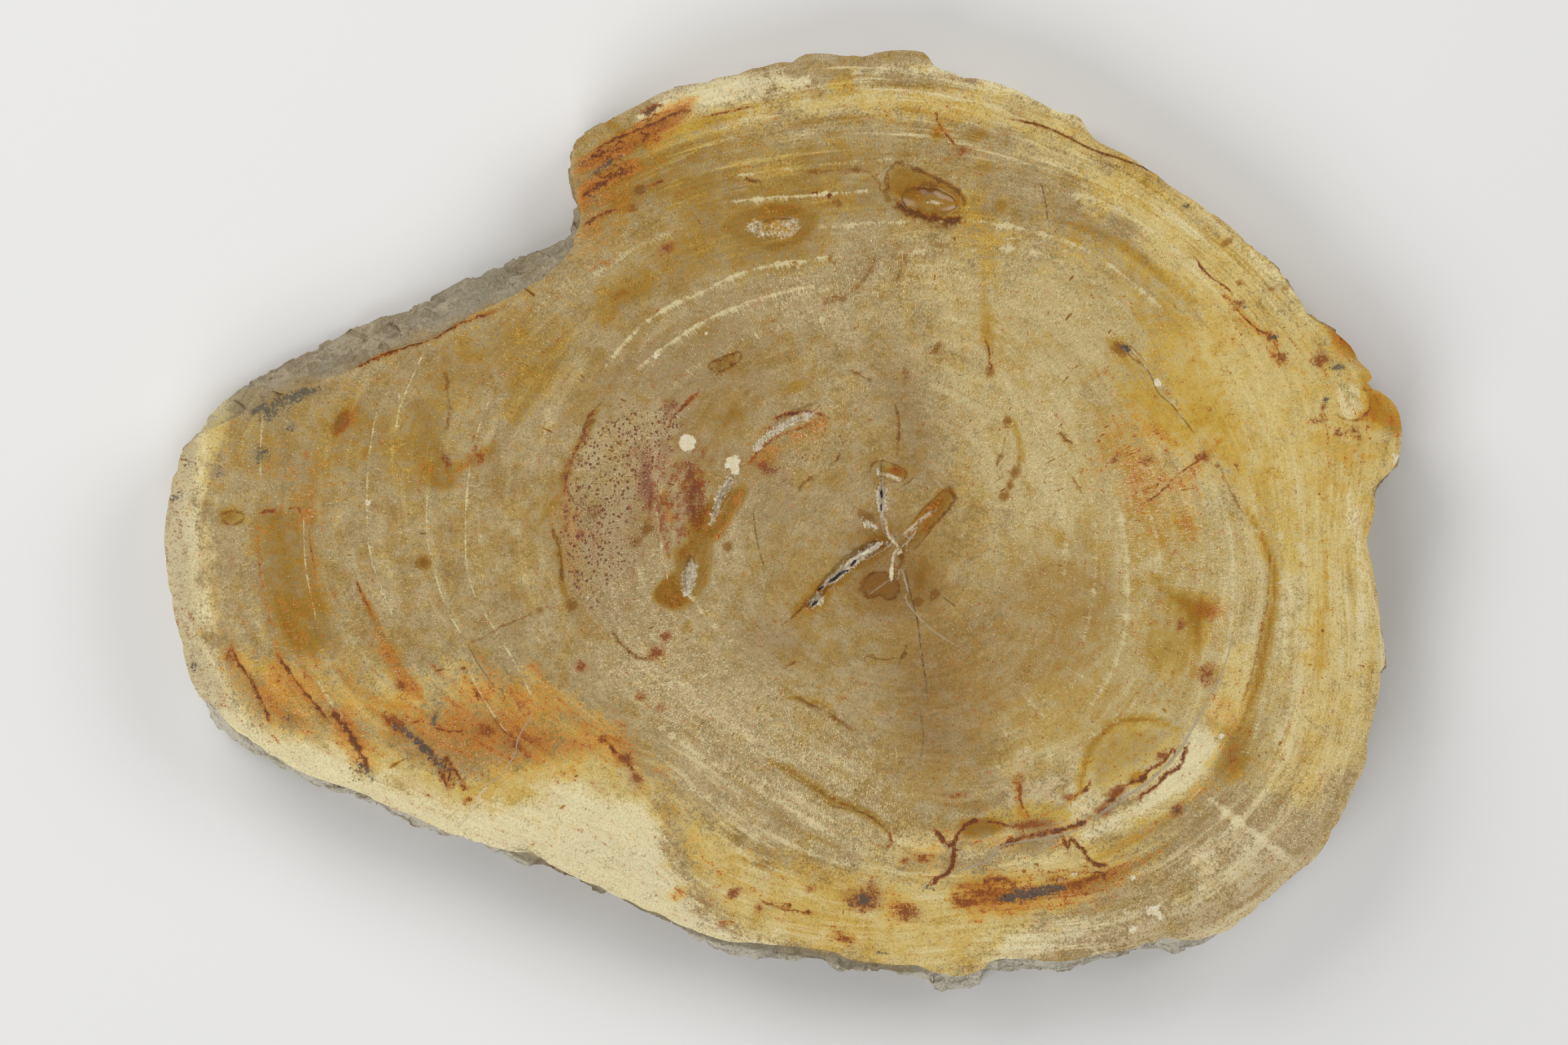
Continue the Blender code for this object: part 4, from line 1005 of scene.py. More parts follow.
RUST_LINES = [
    (1.6, 0.8, [(1788, 379), (1805, 405), (1828, 424), (1845, 436), (1852, 452)]),
    (7.0, 0.75, [(874, 256), (905, 240), (940, 222), (975, 204), (1005, 186)]),
    (6.0, 0.75, [(872, 290), (900, 274), (935, 258), (958, 250)]),
    (2.0, 0.85, [(1054, 582), (1032, 604), (1008, 628), (1000, 645)]),
    (2.4, 0.85, [(886, 622), (876, 650), (862, 680), (850, 715), (845, 750)]),
    (2.6, 0.9, [(345, 955), (352, 985), (375, 1020), (395, 1060), (412, 1095)]),
    (2.5, 0.9, [(410, 975), (450, 1030), (500, 1090)]),
    (5.0, 1.0, [(495, 1060), (512, 1085), (530, 1110), (545, 1140), (552, 1165)]),
    (1.8, 0.9, [(650, 1090), (668, 1097), (700, 1096)]),
    (5.0, 0.9, [(560, 1062), (585, 1082), (610, 1102), (639, 1124), (655, 1145), (668, 1175), (684, 1190)]),
    (4.0, 0.9, [(663, 1130), (680, 1152), (695, 1178), (700, 1190)]),
    (5.0, 0.8, [(760, 1095), (775, 1118), (800, 1140)]), (2.2, 0.8, [(533, 865), (543, 892), (563, 932)]),
    (2.6, 0.95, [(880, 232), (905, 218), (930, 205), (965, 192), (1000, 176), (1020, 168), (1057, 165)]),
    (5.0, 0.85, [(868, 247), (885, 240), (905, 230), (925, 224), (945, 220)]),
    (5.0, 0.9, [(960, 172), (975, 165), (995, 152)]),
    (5.0, 1.0, [(872, 300), (882, 288), (900, 278), (918, 272)]),
    (3.0, 0.8, [(882, 268), (920, 250), (950, 240)]), (2.5, 0.9, [(870, 345), (895, 325), (930, 312)]),
    (2.0, 0.8, [(960, 285), (1000, 268)]), (2.6, 0.95, [(386, 774), (398, 767), (416, 766)]),
    (2.8, 0.95, [(430, 764), (446, 762), (453, 772)]),
    (3.0, 0.9, [(1157, 629), (1190, 620), (1215, 618), (1241, 626)]),
    (4.0, 0.9, [(1341, 296), (1354, 310), (1370, 320), (1398, 327), (1420, 331), (1437, 327), (1443, 315)]),
    (4.0, 0.4, [(387, 785), (388, 830), (396, 890), (410, 940)]),
    (1.8, 0.7, [(462, 785), (468, 830), (476, 880)]),
    (2.5, 0.9, [(500, 560), (540, 546), (580, 531), (650, 506), (700, 482), (760, 462)]),
    (3.0, 0.75, [(1118, 702), (1135, 680), (1165, 655), (1205, 640), (1240, 622)]),
    (3.0, 1.0, [(1790, 1108), (1776, 1129), (1770, 1150), (1747, 1163), (1734, 1180), (1717, 1190),
        (1703, 1206)]),
    (3.0, 1.0, [(1768, 1108), (1755, 1129), (1738, 1148), (1726, 1152), (1712, 1170), (1692, 1175),
        (1678, 1190), (1665, 1200), (1648, 1214)]),
    (4.0, 1.0, [(1640, 1226), (1620, 1236), (1590, 1246), (1550, 1254), (1510, 1266), (1494, 1280)]),
    (3.2, 1.1, [(1398, 1238), (1408, 1252), (1425, 1270), (1440, 1248), (1455, 1234), (1480, 1230)]),
    (1.8, 0.9, [(1476, 1231), (1500, 1236), (1520, 1242)]),
    (2.5, 0.8, [(1585, 1240), (1597, 1262), (1604, 1282)]),
    (3.4, 1.1, [(1425, 1270), (1431, 1290), (1422, 1308), (1404, 1320), (1390, 1333)]),
    (3.0, 1.0, [(1600, 1250), (1626, 1277), (1638, 1294), (1667, 1300)]),
    (6.0, 0.9, [(1450, 1356), (1490, 1350), (1540, 1345), (1600, 1332), (1675, 1306)]),
    (6.0, 0.8, [(1470, 1325), (1500, 1318), (1530, 1330)]),
    (2.4, 0.85, [(1136, 1350), (1175, 1364), (1222, 1370)]), (2.0, 0.7, [(1150, 1356), (1190, 1356)]),
    (3.5, 1.2, [(1218, 285), (1223, 288), (1228, 290)]),
    (3.5, 1.1, [(1238, 291), (1243, 294), (1248, 297)]),
    (1.6, 0.7, [(1697, 766), (1738, 741), (1772, 708), (1817, 680)]),
    (1.6, 0.5, [(1705, 740), (1750, 722), (1768, 716)]),
    (1.6, 0.9, [(1850, 457), (1880, 490), (1905, 505), (1922, 538)]),
    (2.5, 0.8, [(1530, 1170), (1530, 1200), (1545, 1228)]),
    (3.0, 0.9, [(1600, 1198), (1625, 1188), (1640, 1165)]),
    (3.0, 0.9, [(905, 1108), (925, 1130), (940, 1142), (958, 1165)]),
    (2.5, 0.8, [(1332, 1245), (1338, 1262), (1330, 1275)]),
    (2.0, 0.7, [(1405, 160), (1408, 185), (1440, 226)]),
    (1.6, 0.9, [(1500, 175), (1560, 188), (1600, 205), (1640, 225), (1700, 245), (1760, 272)]),
    (2.0, 0.8, [(1475, 500), (1484, 530), (1486, 560)]),
    (1.5, 0.7, [(1040, 178), (1090, 168), (1130, 158)]),
]
rust = field((), (), RUST_SPOTS)
red_side, red_strength = thin_lines(RUST_LINES)
keep("reds", red_side, red_strength, rust)

# %% Slate grey
SLATE_STREAKS = [
    (7, 0.9, [(592, 1085), (625, 1110), (650, 1136), (675, 1160)]),
    (6, 0.9, [(535, 1142), (552, 1155), (558, 1172)]),
    (10, 1.0, [(1500, 1348), (1545, 1341), (1598, 1332)]),
    (2.6, 0.9, [(646, 1070), (651, 1082), (656, 1094)]),
    (11, 0.9, [(372, 622), (395, 612), (420, 602), (450, 592), (478, 584)]),
    (6, 0.7, [(880, 268), (905, 250), (935, 232)]), (6, 0.7, [(876, 305), (900, 290)]),
]
SLATE_SPOTS = [
    (1868, 462, 7, 5, -40, 0.9), (1911, 505, 7, 4, 0, 0.9), (1778, 310, 9, 6, 0, 0.9),
    (262, 744, 9, 6, 20, 0.85), (250, 768, 5, 8, 0, 0.8), (285, 692, 12, 11, 0, 0.6),
    (541, 1158, 14, 14, 0, 0.8), (532, 1125, 8, 14, -15, 0.6), (404, 618, 26, 14, 12, 0.9),
    (456, 592, 18, 8, 10, 0.9), (435, 640, 12, 8, 0, 0.7), (290, 700, 8, 7, 0, 0.6),
    (876, 244, 10, 5, 25, 0.8), (974, 167, 12, 5, 25, 0.7), (392, 682, 13, 11, 30, 0.9),
    (328, 708, 10, 8, 30, 0.8), (302, 728, 10, 6, 0, 0.6), (410, 618, 12, 6, 20, 0.9),
    (440, 640, 8, 6, 0, 0.8), (270, 745, 9, 6, 20, 0.7), (290, 1000, 9, 7, -40, 0.75),
    (1295, 1350, 16, 9, 0, 0.95), (1318, 1428, 14, 4, -10, 0.85), (2005, 552, 12, 5, 10, 1.0),
    (1990, 600, 6, 10, 20, 0.9), (1688, 522, 12, 6, -30, 0.85), (639, 1124, 9, 9, 0, 1.0),
    (435, 1078, 9, 9, 0, 0.75), (652, 1080, 5, 12, -15, 1.1), (1765, 1216, 5, 6, 0, 0.9),
    (1535, 1343, 14, 6, 8, 0.85), (1390, 1330, 10, 7, 0, 0.8), (868, 862, 4, 6, 0, 1.1),
    (866, 880, 4, 5, 0, 1.0), (1665, 1058, 5, 8, -30, 0.5), (937, 1139, 6, 4, 0, 0.9),
    (596, 1089, 10, 8, 0, 0.7),
]
slate = field((), SLATE_STREAKS, SLATE_SPOTS)
print("slate grey covers", covered(slate), "points")

# %% Wine red, the white filled borings, and a painted highlight in the knot bowl
WINE_AREAS = [
    (20, 0.42, [(1490, 1322), (1590, 1312), (1690, 1290), (1690, 1312), (1600, 1345), (1480, 1365)]),
    (30, 0.35, [(870, 780), (950, 780), (960, 840), (900, 860), (865, 830)]),
    (14, 0.95, [(955, 680), (972, 690), (985, 730), (978, 765), (958, 745)]),
    (18, 0.9, [(1025, 695), (1048, 692), (1062, 740), (1054, 785), (1032, 788), (1018, 745)]),
    (40, 0.5, [(945, 650), (1010, 650), (1065, 690), (1055, 800), (1010, 830), (965, 810), (940, 740)]),
]
WINE_SPOTS = [
    (1151, 703, 20, 8, -20, 0.9), (970, 700, 12, 30, 8, 0.9), (667, 688, 16, 7, -50, 0.85),
    (714, 677, 7, 14, 10, 0.7), (988, 762, 9, 24, -10, 1.0), (1040, 738, 12, 34, 14, 1.1),
    (965, 715, 9, 28, 10, 1.0), (1003, 625, 14, 6, 35, 0.9), (1145, 700, 14, 8, -15, 0.9),
    (1005, 610, 8, 12, -40, 0.9), (960, 610, 9, 6, 0, 0.7), (1437, 226, 8, 4, 0, 0.8),
]
WHITE_SPOTS_AND_BOWL_HIGHLIGHT = [
    (1031, 664, 10, 10, 0, 1.5), (1098, 694, 11, 8, 30, 1.2), (1103, 705, 7, 8, 0, 1.1),
    # The long flat spot at 1402, 304 is a painted highlight on the lower wall of the knot bowl, not a
    # boring.
    (1402, 304, 26, 6, -9, 0.62), (1737, 576, 5, 8, 20, 1.1), (1337, 860, 3.5, 12, 8, 1.1),
    (1733, 1368, 17, 4, -35, 1.1), (1730, 1366, 16, 4, 30, 1.0), (1737, 1372, 4, 12, 10, 1.0),
    (1700, 1395, 7, 5, 30, 1.1), (1698, 1317, 6, 6, 0, 0.9), (1611, 1314, 6, 5, 0, 0.9),
    (1591, 1321, 6, 5, 0, 0.8), (1832, 1104, 7, 6, 0, 0.9), (1690, 1372, 5, 14, 10, 0.7),
    (2095, 690, 8, 16, 20, 0.8), (1300, 826, 18, 4, 33, 0.7), (1316, 708, 4, 4, 0, 0.8),
    (553, 754, 6, 5, 0, 1.0), (985, 533, 7, 5, 40, 0.9), (1060, 500, 5, 4, 40, 0.8),
    (600, 595, 4, 5, 0, 0.8), (1097, 1137, 5, 6, 0, 0.8), (1600, 1000, 4, 3, 0, 0.7),
    (1330, 765, 3, 14, 5, 0.6), (880, 898, 6, 5, 0, 0.8),
]
wine = field(WINE_AREAS, (), WINE_SPOTS)
white = field((), (), WHITE_SPOTS_AND_BOWL_HIGHLIGHT)
keep("mineral", slate, wine, white)

# %% [markdown]
# ## Veins, crystals and insect-drilled wood
#
# Quartz filled the narrow cracks with pale veins and lined the open ones with grey crystals. Left of the
# pith the wood was full of small holes, which are now dark dots in pale stone.

# %% Pale veins and crystal crusts
VEINS = [
    (1.3, 0.7, [(1850, 950), (1840, 990), (1828, 1020), (1813, 1050)]),
    (2.6, 0.75, [(1816, 1042), (1792, 1087), (1767, 1129), (1730, 1167), (1688, 1196), (1647, 1225),
        (1632, 1241)]),
    (1.5, 0.75, [(1636, 1238), (1609, 1248), (1563, 1258), (1505, 1269), (1480, 1292), (1440, 1306),
        (1410, 1320)]),
    (1.2, 0.8, [(802, 1070), (779, 1103), (772, 1132), (755, 1159), (730, 1180)]),
    (2.2, 1.3, [(735, 1176), (718, 1195), (706, 1219), (686, 1242)]),
    (1.2, 0.8, [(1355, 880), (1361, 904), (1375, 922), (1392, 940), (1417, 958), (1440, 972)]),
    (1.6, 0.8, [(1352, 850), (1358, 872), (1363, 892)]),
    (2.2, 1.0, [(1345, 818), (1340, 835), (1337, 862), (1335, 872)]),
    (2.4, 0.9, [(1350, 806), (1363, 795), (1379, 781), (1390, 773), (1401, 764)]),
    (2.0, 0.8, [(1352, 824), (1364, 810), (1372, 800), (1379, 787)]),
    (3.0, 1.1, [(1310, 706), (1320, 711), (1336, 715), (1356, 722)]),
    (2.4, 1.1, [(1316, 700), (1320, 712), (1324, 726)]),
    (2.4, 1.1, [(1323, 772), (1329, 785), (1331, 800), (1340, 812), (1350, 824), (1354, 838)]),
    (4.5, 0.9, [(1341, 810), (1349, 820), (1352, 832)]),
    (2.4, 0.8, [(1322, 812), (1330, 816), (1345, 818)]),
    (1.2, 0.6, [(1316, 740), (1310, 755), (1304, 768)]),
    (1.2, 0.5, [(1334, 870), (1318, 882), (1302, 893)]),
    (1.2, 0.6, [(1249, 878), (1253, 890), (1246, 903)]),
    (1.0, 0.5, [(1210, 786), (1225, 790), (1240, 794)]),
    (2.0, 0.5, [(740, 1290), (765, 1272), (790, 1278), (812, 1290)]),
]
CRYSTAL_AREAS = [
    (6, 0.5, [(1114, 345), (1130, 328), (1160, 334), (1190, 324), (1201, 342), (1180, 358), (1150, 360)]),
    (7, 0.85, [(1128, 670), (1142, 655), (1165, 638), (1190, 625), (1216, 618), (1220, 625), (1199, 634),
        (1177, 646), (1155, 660), (1138, 674)]),
    (7, 0.85, [(1098, 716), (1096, 728), (1084, 752), (1072, 782), (1065, 790), (1066, 768), (1076, 740),
        (1088, 720)]),
    (7, 0.95, [(1036, 838), (1044, 845), (1044, 868), (1038, 888), (1028, 896), (1023, 885), (1025, 860)]),
]
CRYSTAL_STREAKS = [
    (5.8, 1.15, [(1328, 812), (1312, 820), (1298, 829), (1284, 840), (1265, 856), (1246, 870),
        (1232, 882)]),
    (6.5, 1.1, [(1322, 724), (1323, 745), (1323, 774)]),
]
CRYSTAL_SPOTS = [
    (1135, 672, 7, 6, 40, 1.0), (1225, 901, 12, 8, 45, 1.0), (1303, 786, 13, 5, -33, 1.0),
]
vein_side, vein_strength = thin_lines(VEINS)
crystal = field(CRYSTAL_AREAS, CRYSTAL_STREAKS, CRYSTAL_SPOTS)
keep("veins", vein_side, vein_strength, crystal)

# %% Hair-thin dark lines, and painted shade in the depths of the open cracks
DARK_LINES = [
    (1.6, 1.0, [(1355, 845), (1360, 865), (1368, 900), (1376, 930), (1383, 985), (1390, 1030),
        (1393, 1060)]),
    (1.6, 0.8, [(1431, 742), (1424, 762), (1405, 782)]),
    (1.6, 0.8, [(1404, 890), (1420, 900), (1436, 912)]),
    (1.5, 0.8, [(1700, 535), (1722, 556), (1738, 590), (1760, 610), (1795, 655)]),
    (1.6, 0.9, [(1510, 178), (1560, 188), (1600, 205), (1640, 225), (1700, 245), (1760, 272)]),
    (1.6, 0.9, [(1560, 270), (1568, 300), (1572, 335)]),
    (1.5, 0.8, [(1374, 712), (1362, 725), (1350, 730)]),
    (1.6, 0.8, [(1205, 910), (1190, 925), (1170, 940)]),
    (1.5, 0.8, [(1130, 762), (1132, 790), (1140, 830), (1150, 860)]),
    (1.8, 0.9, [(372, 1005), (388, 1040), (400, 1070)]),
    (1.5, 0.8, [(1598, 1248), (1625, 1280), (1650, 1298)]),
    (1.5, 0.8, [(1300, 985), (1330, 990), (1345, 985)]), (1.4, 0.7, [(700, 965), (720, 1000), (745, 1035)]),
    (1.6, 0.7, [(758, 1278), (790, 1276), (820, 1296)]),
    (1.6, 0.8, [(1240, 1208), (1300, 1222), (1336, 1252)]),
    (1.4, 0.6, [(1380, 1060), (1385, 1110), (1378, 1150)]),
    (1.6, 0.7, [(905, 600), (880, 630), (868, 665)]),
]
# Painted shade in the deepest parts of the open cracks: half width, strength and route in pixels.
CRACK_SHADE_STREAKS = [
    (2.4, 1.0, [(1241, 875), (1252, 868), (1262, 860), (1273, 855)]),
    (2.2, 1.0, [(1276, 850), (1284, 840)]), (2.8, 0.9, [(1218, 909), (1227, 901)]),
    (2.4, 0.95, [(1322, 735), (1323, 749)]), (2.2, 0.9, [(1322, 756), (1322, 767)]),
    (2.2, 0.8, [(1227, 886), (1236, 879)]),
]
line_side, line_strength = thin_lines(DARK_LINES)
crack_shade = field((), CRACK_SHADE_STREAKS)
keep("lines", line_side, line_strength, crack_shade)

# %% The dotted patch, and where the pale flecks are thick
DOTTED_AREAS = [
    (26, 1.0, [(885, 640), (850, 700), (838, 780), (842, 850), (855, 910), (900, 905), (950, 840),
        (965, 760), (1000, 690), (1030, 640), (1010, 610), (940, 615)]),
    (20, 0.6, [(1180, 660), (1260, 640), (1290, 670), (1230, 700), (1150, 730), (1120, 740)]),
]
FLECKED_AREAS = [
    (60, 0.85, [(1050, 760), (1110, 640), (1250, 560), (1400, 520), (1560, 540), (1640, 640), (1640, 900),
        (1560, 1020), (1450, 980), (1480, 800), (1420, 660), (1290, 640), (1150, 800), (1100, 940)]),
    (50, 0.9, [(860, 640), (1000, 600), (1040, 700), (1010, 860), (1100, 960), (1330, 1130), (1340, 1290),
        (1180, 1250), (1000, 1120), (880, 1000), (840, 820)]),
    (40, 0.8, [(1640, 690), (1900, 700), (1960, 900), (1900, 1100), (1760, 1120), (1680, 1000)]),
    (50, 0.7, [(900, 560), (1100, 420), (1400, 370), (1650, 420), (1780, 560), (1600, 520), (1300, 470),
        (1060, 540)]),
    (50, 0.75, [(1880, 1180), (1960, 1000), (2060, 900), (2080, 1100), (1960, 1280), (1800, 1370),
        (1560, 1400), (1700, 1300)]),
]
dotted = field(DOTTED_AREAS)
clear_stone = np.clip(olive * 1.4 - 0.4, 0.0, 1.0)
flecked = 0.45 + 0.55 * field(FLECKED_AREAS) - 0.55 * clear_stone - 0.5 * heart
flecked = np.clip(flecked, 0.0, 1.0)
keep("growth", ring, flecked, dotted)

# %% [markdown]
# ## Sums with sockets
#
# A shader is a web of nodes, and a web written node by node is hard to read. This small class wraps a
# node's output so that Python's own signs add the Math nodes. Everything else goes through one method.

# %% The Wire class
SWING = 5.0


def feed(node, inputs):
    """Sets sockets of a node, each to a number or a colour, or from a wire."""
    for key, value in inputs.items():
        if isinstance(value, Wire):
            node.id_data.links.new(value.socket, node.inputs[key])
        else:
            node.inputs[key].default_value = value


class Wire:
    """The output socket of a node, which Python can do sums with."""

    def __init__(self, socket):
        self.socket = socket

    def node(self, kind, settings, inputs, output=0):
        """Adds a node of this kind to the same material and returns one of its outputs."""
        made = self.socket.id_data.nodes.new(kind)
        for name, value in settings.items():
            setattr(made, name, value)
        feed(made, inputs)
        return Wire(made.outputs[output])

    def math(self, operation, first, second=0.0):
        return self.node("ShaderNodeMath", {"operation": operation}, {0: first, 1: second})

    def __add__(self, other):
        return self.math("ADD", self, other)

    def __radd__(self, other):
        return self.math("ADD", other, self)

    def __sub__(self, other):
        return self.math("SUBTRACT", self, other)

    def __rsub__(self, other):
        return self.math("SUBTRACT", other, self)

    def __mul__(self, other):
        return self.math("MULTIPLY", self, other)

    def __rmul__(self, other):
        return self.math("MULTIPLY", other, self)

    def __abs__(self):
        return self.math("ABSOLUTE", self)

    def most(self, other):
        return self.math("MAXIMUM", self, other)

    def least(self, other):
        return self.math("MINIMUM", self, other)

    def vector(self, operation, other, output=0):
        return self.node("ShaderNodeVectorMath", {"operation": operation}, {0: self, 1: other}, output)

    def scaled(self, factor):
        return self.node("ShaderNodeVectorMath", {"operation": "SCALE"}, {0: self, 3: factor})

    def parts(self):
        """The vector's x, y and z."""
        split = self.node("ShaderNodeSeparateXYZ", {}, {0: self}).socket.node
        return [Wire(output) for output in split.outputs]

    def ramp(self, low, high):
        """0 below low, 1 above high and smooth between; the other way round if high is below low."""
        smooth = {"interpolation_type": "SMOOTHSTEP"}
        return self.node("ShaderNodeMapRange", smooth, {0: self, 1: low, 2: high})

    def swing(self, scale, detail=3.0, roughness=0.6):
        """Noise that swings round 0, mostly between -1 and 1, with this vector as its place."""
        inputs = {"Vector": self, "Scale": scale, "Detail": detail, "Roughness": roughness}
        return (self.node("ShaderNodeTexNoise", {}, inputs) - 0.5) * SWING

    def over(self, colour, tint, most=1.0):
        """Lays a tint over a colour, with this wire as the mask."""
        return self.node("ShaderNodeMix", {"data_type": "RGBA"}, {0: self * most, 6: colour, 7: tint}, 2)

    def glaze(self, colour, stain, most=1.0):
        """Stains a colour so that its own grain still shows, with this wire as the mask."""
        return self.over(colour, colour.vector("MULTIPLY", stain), most)


def rgb(red, green, blue):
    return (red, green, blue, 1.0)


print("a wire can:", [name for name in vars(Wire) if not name.startswith("_")])

# %% [markdown]
# ## Places and noises that all three skins share
#
# The patterns are laid out in millimetres. A noise stretched along the rings gives the bands of growth. A
# noise that is fine across a spoke from the pith and longer along it gives the rays of the wood. The
# spokes spread as they run outwards, so three of these are blended, each for its own distance from the
# pith.

# %% Shared coordinates
# Features per radian of the three ray noises, and the distances from the pith, in millimetres, over which
# the first gives way to the second and the second to the third.
RAY_COUNTS = (110.0, 240.0, 520.0)
RAY_CHANGES = ((20.8, 35.2), (50.4, 79.2))
# The log's grain runs down through the slab, so noise is drawn out that way, and spokes hardly change.
DRAWN_OUT = (1.0, 1.0, 0.2)
FLATTENED = (1.0, 1.0, 0.0)
DOWNWARD_CHANGE = 0.02


class Pattern:
    """The places, fields and noises of one material."""

    def __init__(self, name):
        self.material = bpy.data.materials.new(name)
        self.material.use_nodes = True
        self.tree = self.material.node_tree
        self.shader = self.tree.nodes["Principled BSDF"]
        self.place = Wire(self.tree.nodes.new("ShaderNodeTexCoord").outputs["Object"]).scaled(1.0 / MM)
        self.x, self.y, self.z = self.place.parts()
        self.grained = self.place.vector("MULTIPLY", DRAWN_OUT)
        self.ring, self.flecked, self.dotted = self.stored("growth")
        from_pith = self.grained.vector("SUBTRACT", (*PITH, 0.0)).vector("MULTIPLY", FLATTENED)
        self.radius = from_pith.vector("LENGTH", (0.0, 0.0, 0.0), 1)
        self.spoke = from_pith.vector("NORMALIZE", (0.0, 0.0, 0.0))

    def stored(self, name):
        """The three fields kept under this name."""
        held = self.place.node("ShaderNodeAttribute", {"attribute_name": name}, {}, 1)
        return held.parts()

    def along_rings(self, around, across, detail=3.0):
        """A swing with this many features per radian round the pith and this many per ring."""
        height = self.ring * across + self.z * DOWNWARD_CHANGE
        lift = self.place.node("ShaderNodeCombineXYZ", {}, {2: height})
        return self.spoke.scaled(around).vector("ADD", lift).swing(1.0, detail)

    def rays(self, across, detail=1.5):
        """A fine swing that runs along the spokes from the pith."""
        near, middle, far = [self.along_rings(around, across, detail) for around in RAY_COUNTS]
        first, second = [self.radius.ramp(start, end) for start, end in RAY_CHANGES]
        inner = near + first * (middle - near)
        return inner + second * (far - inner)

    def finish(self, colour, roughness, height, strength, relief):
        """Feeds the shader, with a relief in millimetres, and gives the stone the material."""
        bumps = {"Strength": strength, "Distance": relief * MM, "Height": height}
        bump = height.node("ShaderNodeBump", {}, bumps)
        feed(self.shader, {"Base Color": colour, "Roughness": roughness, "Normal": bump})
        mesh.materials.append(self.material)
        print(self.material.name, "has", len(self.tree.nodes), "nodes")


# %% [markdown]
# ## The ground of the stone
#
# These layers are common to the polished face and the sawn back: tan, brown heart, yellow, cream rind,
# then the clear olive stains and the iron stains. Each is a mask that lays one colour over what is there.

# %% Ground colours
PINK_TAN = rgb(0.330, 0.225, 0.092)
PALE_TAN = rgb(0.490, 0.380, 0.200)
RIGHT_TAN = rgb(0.550, 0.420, 0.180)
YELLOW = rgb(0.680, 0.520, 0.185)
CREAM = rgb(0.740, 0.650, 0.380)
RIND = rgb(0.470, 0.370, 0.215)
PALE_LINE = rgb(0.700, 0.590, 0.320)
ORANGE = rgb(0.560, 0.225, 0.040)
DEEP_ORANGE = rgb(0.250, 0.066, 0.010)
# Clear stains multiply the colour that is under them.
IRON_STAIN = (0.92, 0.81, 0.50)
GOLD_STAIN = (0.86, 0.74, 0.36)
AMBER_STAIN = (0.77, 0.57, 0.24)
HEART_STAIN = (0.68, 0.58, 0.50)
YELLOW_STAIN = (0.97, 0.86, 0.52)
ORANGE_STAIN = (0.92, 0.62, 0.34)
RIND_SPECK = (0.62, 0.52, 0.42)
IRON_SHIFT = (91.0, 37.0, 0.0)


def ground(pattern):
    """The stone's colour without its crisp marks. The weights here and below were set by comparing
    renders with the photograph."""
    place = pattern.grained
    cloud = place.swing(0.05)
    drift = place.swing(0.17, 4.0)
    mottle = place.swing(0.75, 4.0, 0.7)
    grain = place.swing(2.2, 3.0, 0.75)
    iron = place.vector("ADD", IRON_SHIFT).swing(0.3, 4.0, 0.65)
    bands = pattern.along_rings(3.0, 1.5, 4.0)
    lines = pattern.along_rings(5.0, 6.5, 4.0)
    streaks = pattern.along_rings(12.0, 6.0, 4.0)
    yellow, right, heart = pattern.stored("tone")
    cream = pattern.stored("arcs")[2]
    olive, orange = pattern.stored("stain")[:2]
    rind, banded = pattern.stored("skin")[1:]
    pattern.drift, pattern.mottle, pattern.grain = drift, mottle, grain
    pattern.bands, pattern.streaks = bands, streaks
    pattern.cream, pattern.orange = cream, orange
    edge = bands * 0.2 + drift * 0.25 + mottle * 0.2 + grain * 0.2

    def stained(stain, low, high, roughness=1.0):
        """Where a stain shows. Noise makes its edge ragged but never carries it outside its own field."""
        return (stain + edge * roughness).ramp(low, high) * stain.ramp(0.0, 0.12)

    colour = (drift * 0.45 + mottle * 0.35 + grain * 0.3).ramp(-0.9, 1.0).over(PINK_TAN, PALE_TAN)
    colour = (right + edge).ramp(0.15, 0.95).over(colour, RIGHT_TAN, 0.75)
    colour = (yellow + edge).ramp(0.2, 0.9).over(colour, YELLOW, 0.8)
    colour = (cream + edge).ramp(0.25, 0.8).over(colour, CREAM, 0.9)
    crust = stained(rind, 0.3, 0.8) * (drift * 0.4 + mottle * 0.7 + grain * 0.9).ramp(-0.9, 0.4)
    colour = crust.over(colour, RIND, 0.85)
    colour = (crust * (mottle * 0.5 + grain * 0.9).ramp(-0.1, 0.9)).glaze(colour, RIND_SPECK)
    iron = iron * 0.8 + cloud * 0.5 + mottle * 0.2 - pattern.flecked * 0.4 - cream * 0.8
    colour = iron.ramp(-0.6, 0.4).glaze(colour, IRON_STAIN)

    stripe = bands * 0.7 + lines * 0.6 + grain * 0.2
    shown = 0.2 + 0.7 * banded
    colour = (stripe.ramp(0.1, 0.9) * shown).over(colour, PALE_LINE)
    colour = ((stripe * -1.0).ramp(0.0, 0.9) * shown).glaze(colour, GOLD_STAIN)
    colour = stained(heart, 0.15, 1.0, 0.7).glaze(colour, HEART_STAIN)

    colour = stained(olive, 0.25, 0.6).glaze(colour, GOLD_STAIN)
    colour = stained(olive, 0.65, 1.0, 0.7).glaze(colour, AMBER_STAIN)
    colour = stained(orange, 0.2, 0.6).glaze(colour, YELLOW_STAIN, 0.8)
    colour = stained(orange, 0.35, 1.0).glaze(colour, ORANGE_STAIN, 0.8)
    deep = (streaks * 0.6 + mottle * 0.7 + grain * 0.7 + drift * 0.4 + orange * 1.2).ramp(0.9, 2.3)
    level = orange + drift * 0.3 + streaks * 0.55 + mottle * 0.5 + grain * 0.5
    orange_mask = level.ramp(0.62, 1.15) * orange.ramp(0.0, 0.12)
    colour = orange_mask.over(colour, deep.over(ORANGE, DEEP_ORANGE), 0.9)
    return colour.scaled(1.0 + grain * 0.2 + mottle * 0.08 + drift * 0.04 + lines * 0.04)


# %% [markdown]
# ## The polished face
#
# Over the ground come the fine things: pale flecks, each the cut end of a ray, the pale arcs broken into
# short dashes, dark dots, stains with ragged edges, veins and crystals. The clear stone is polished more
# smoothly than the chalky pale parts.

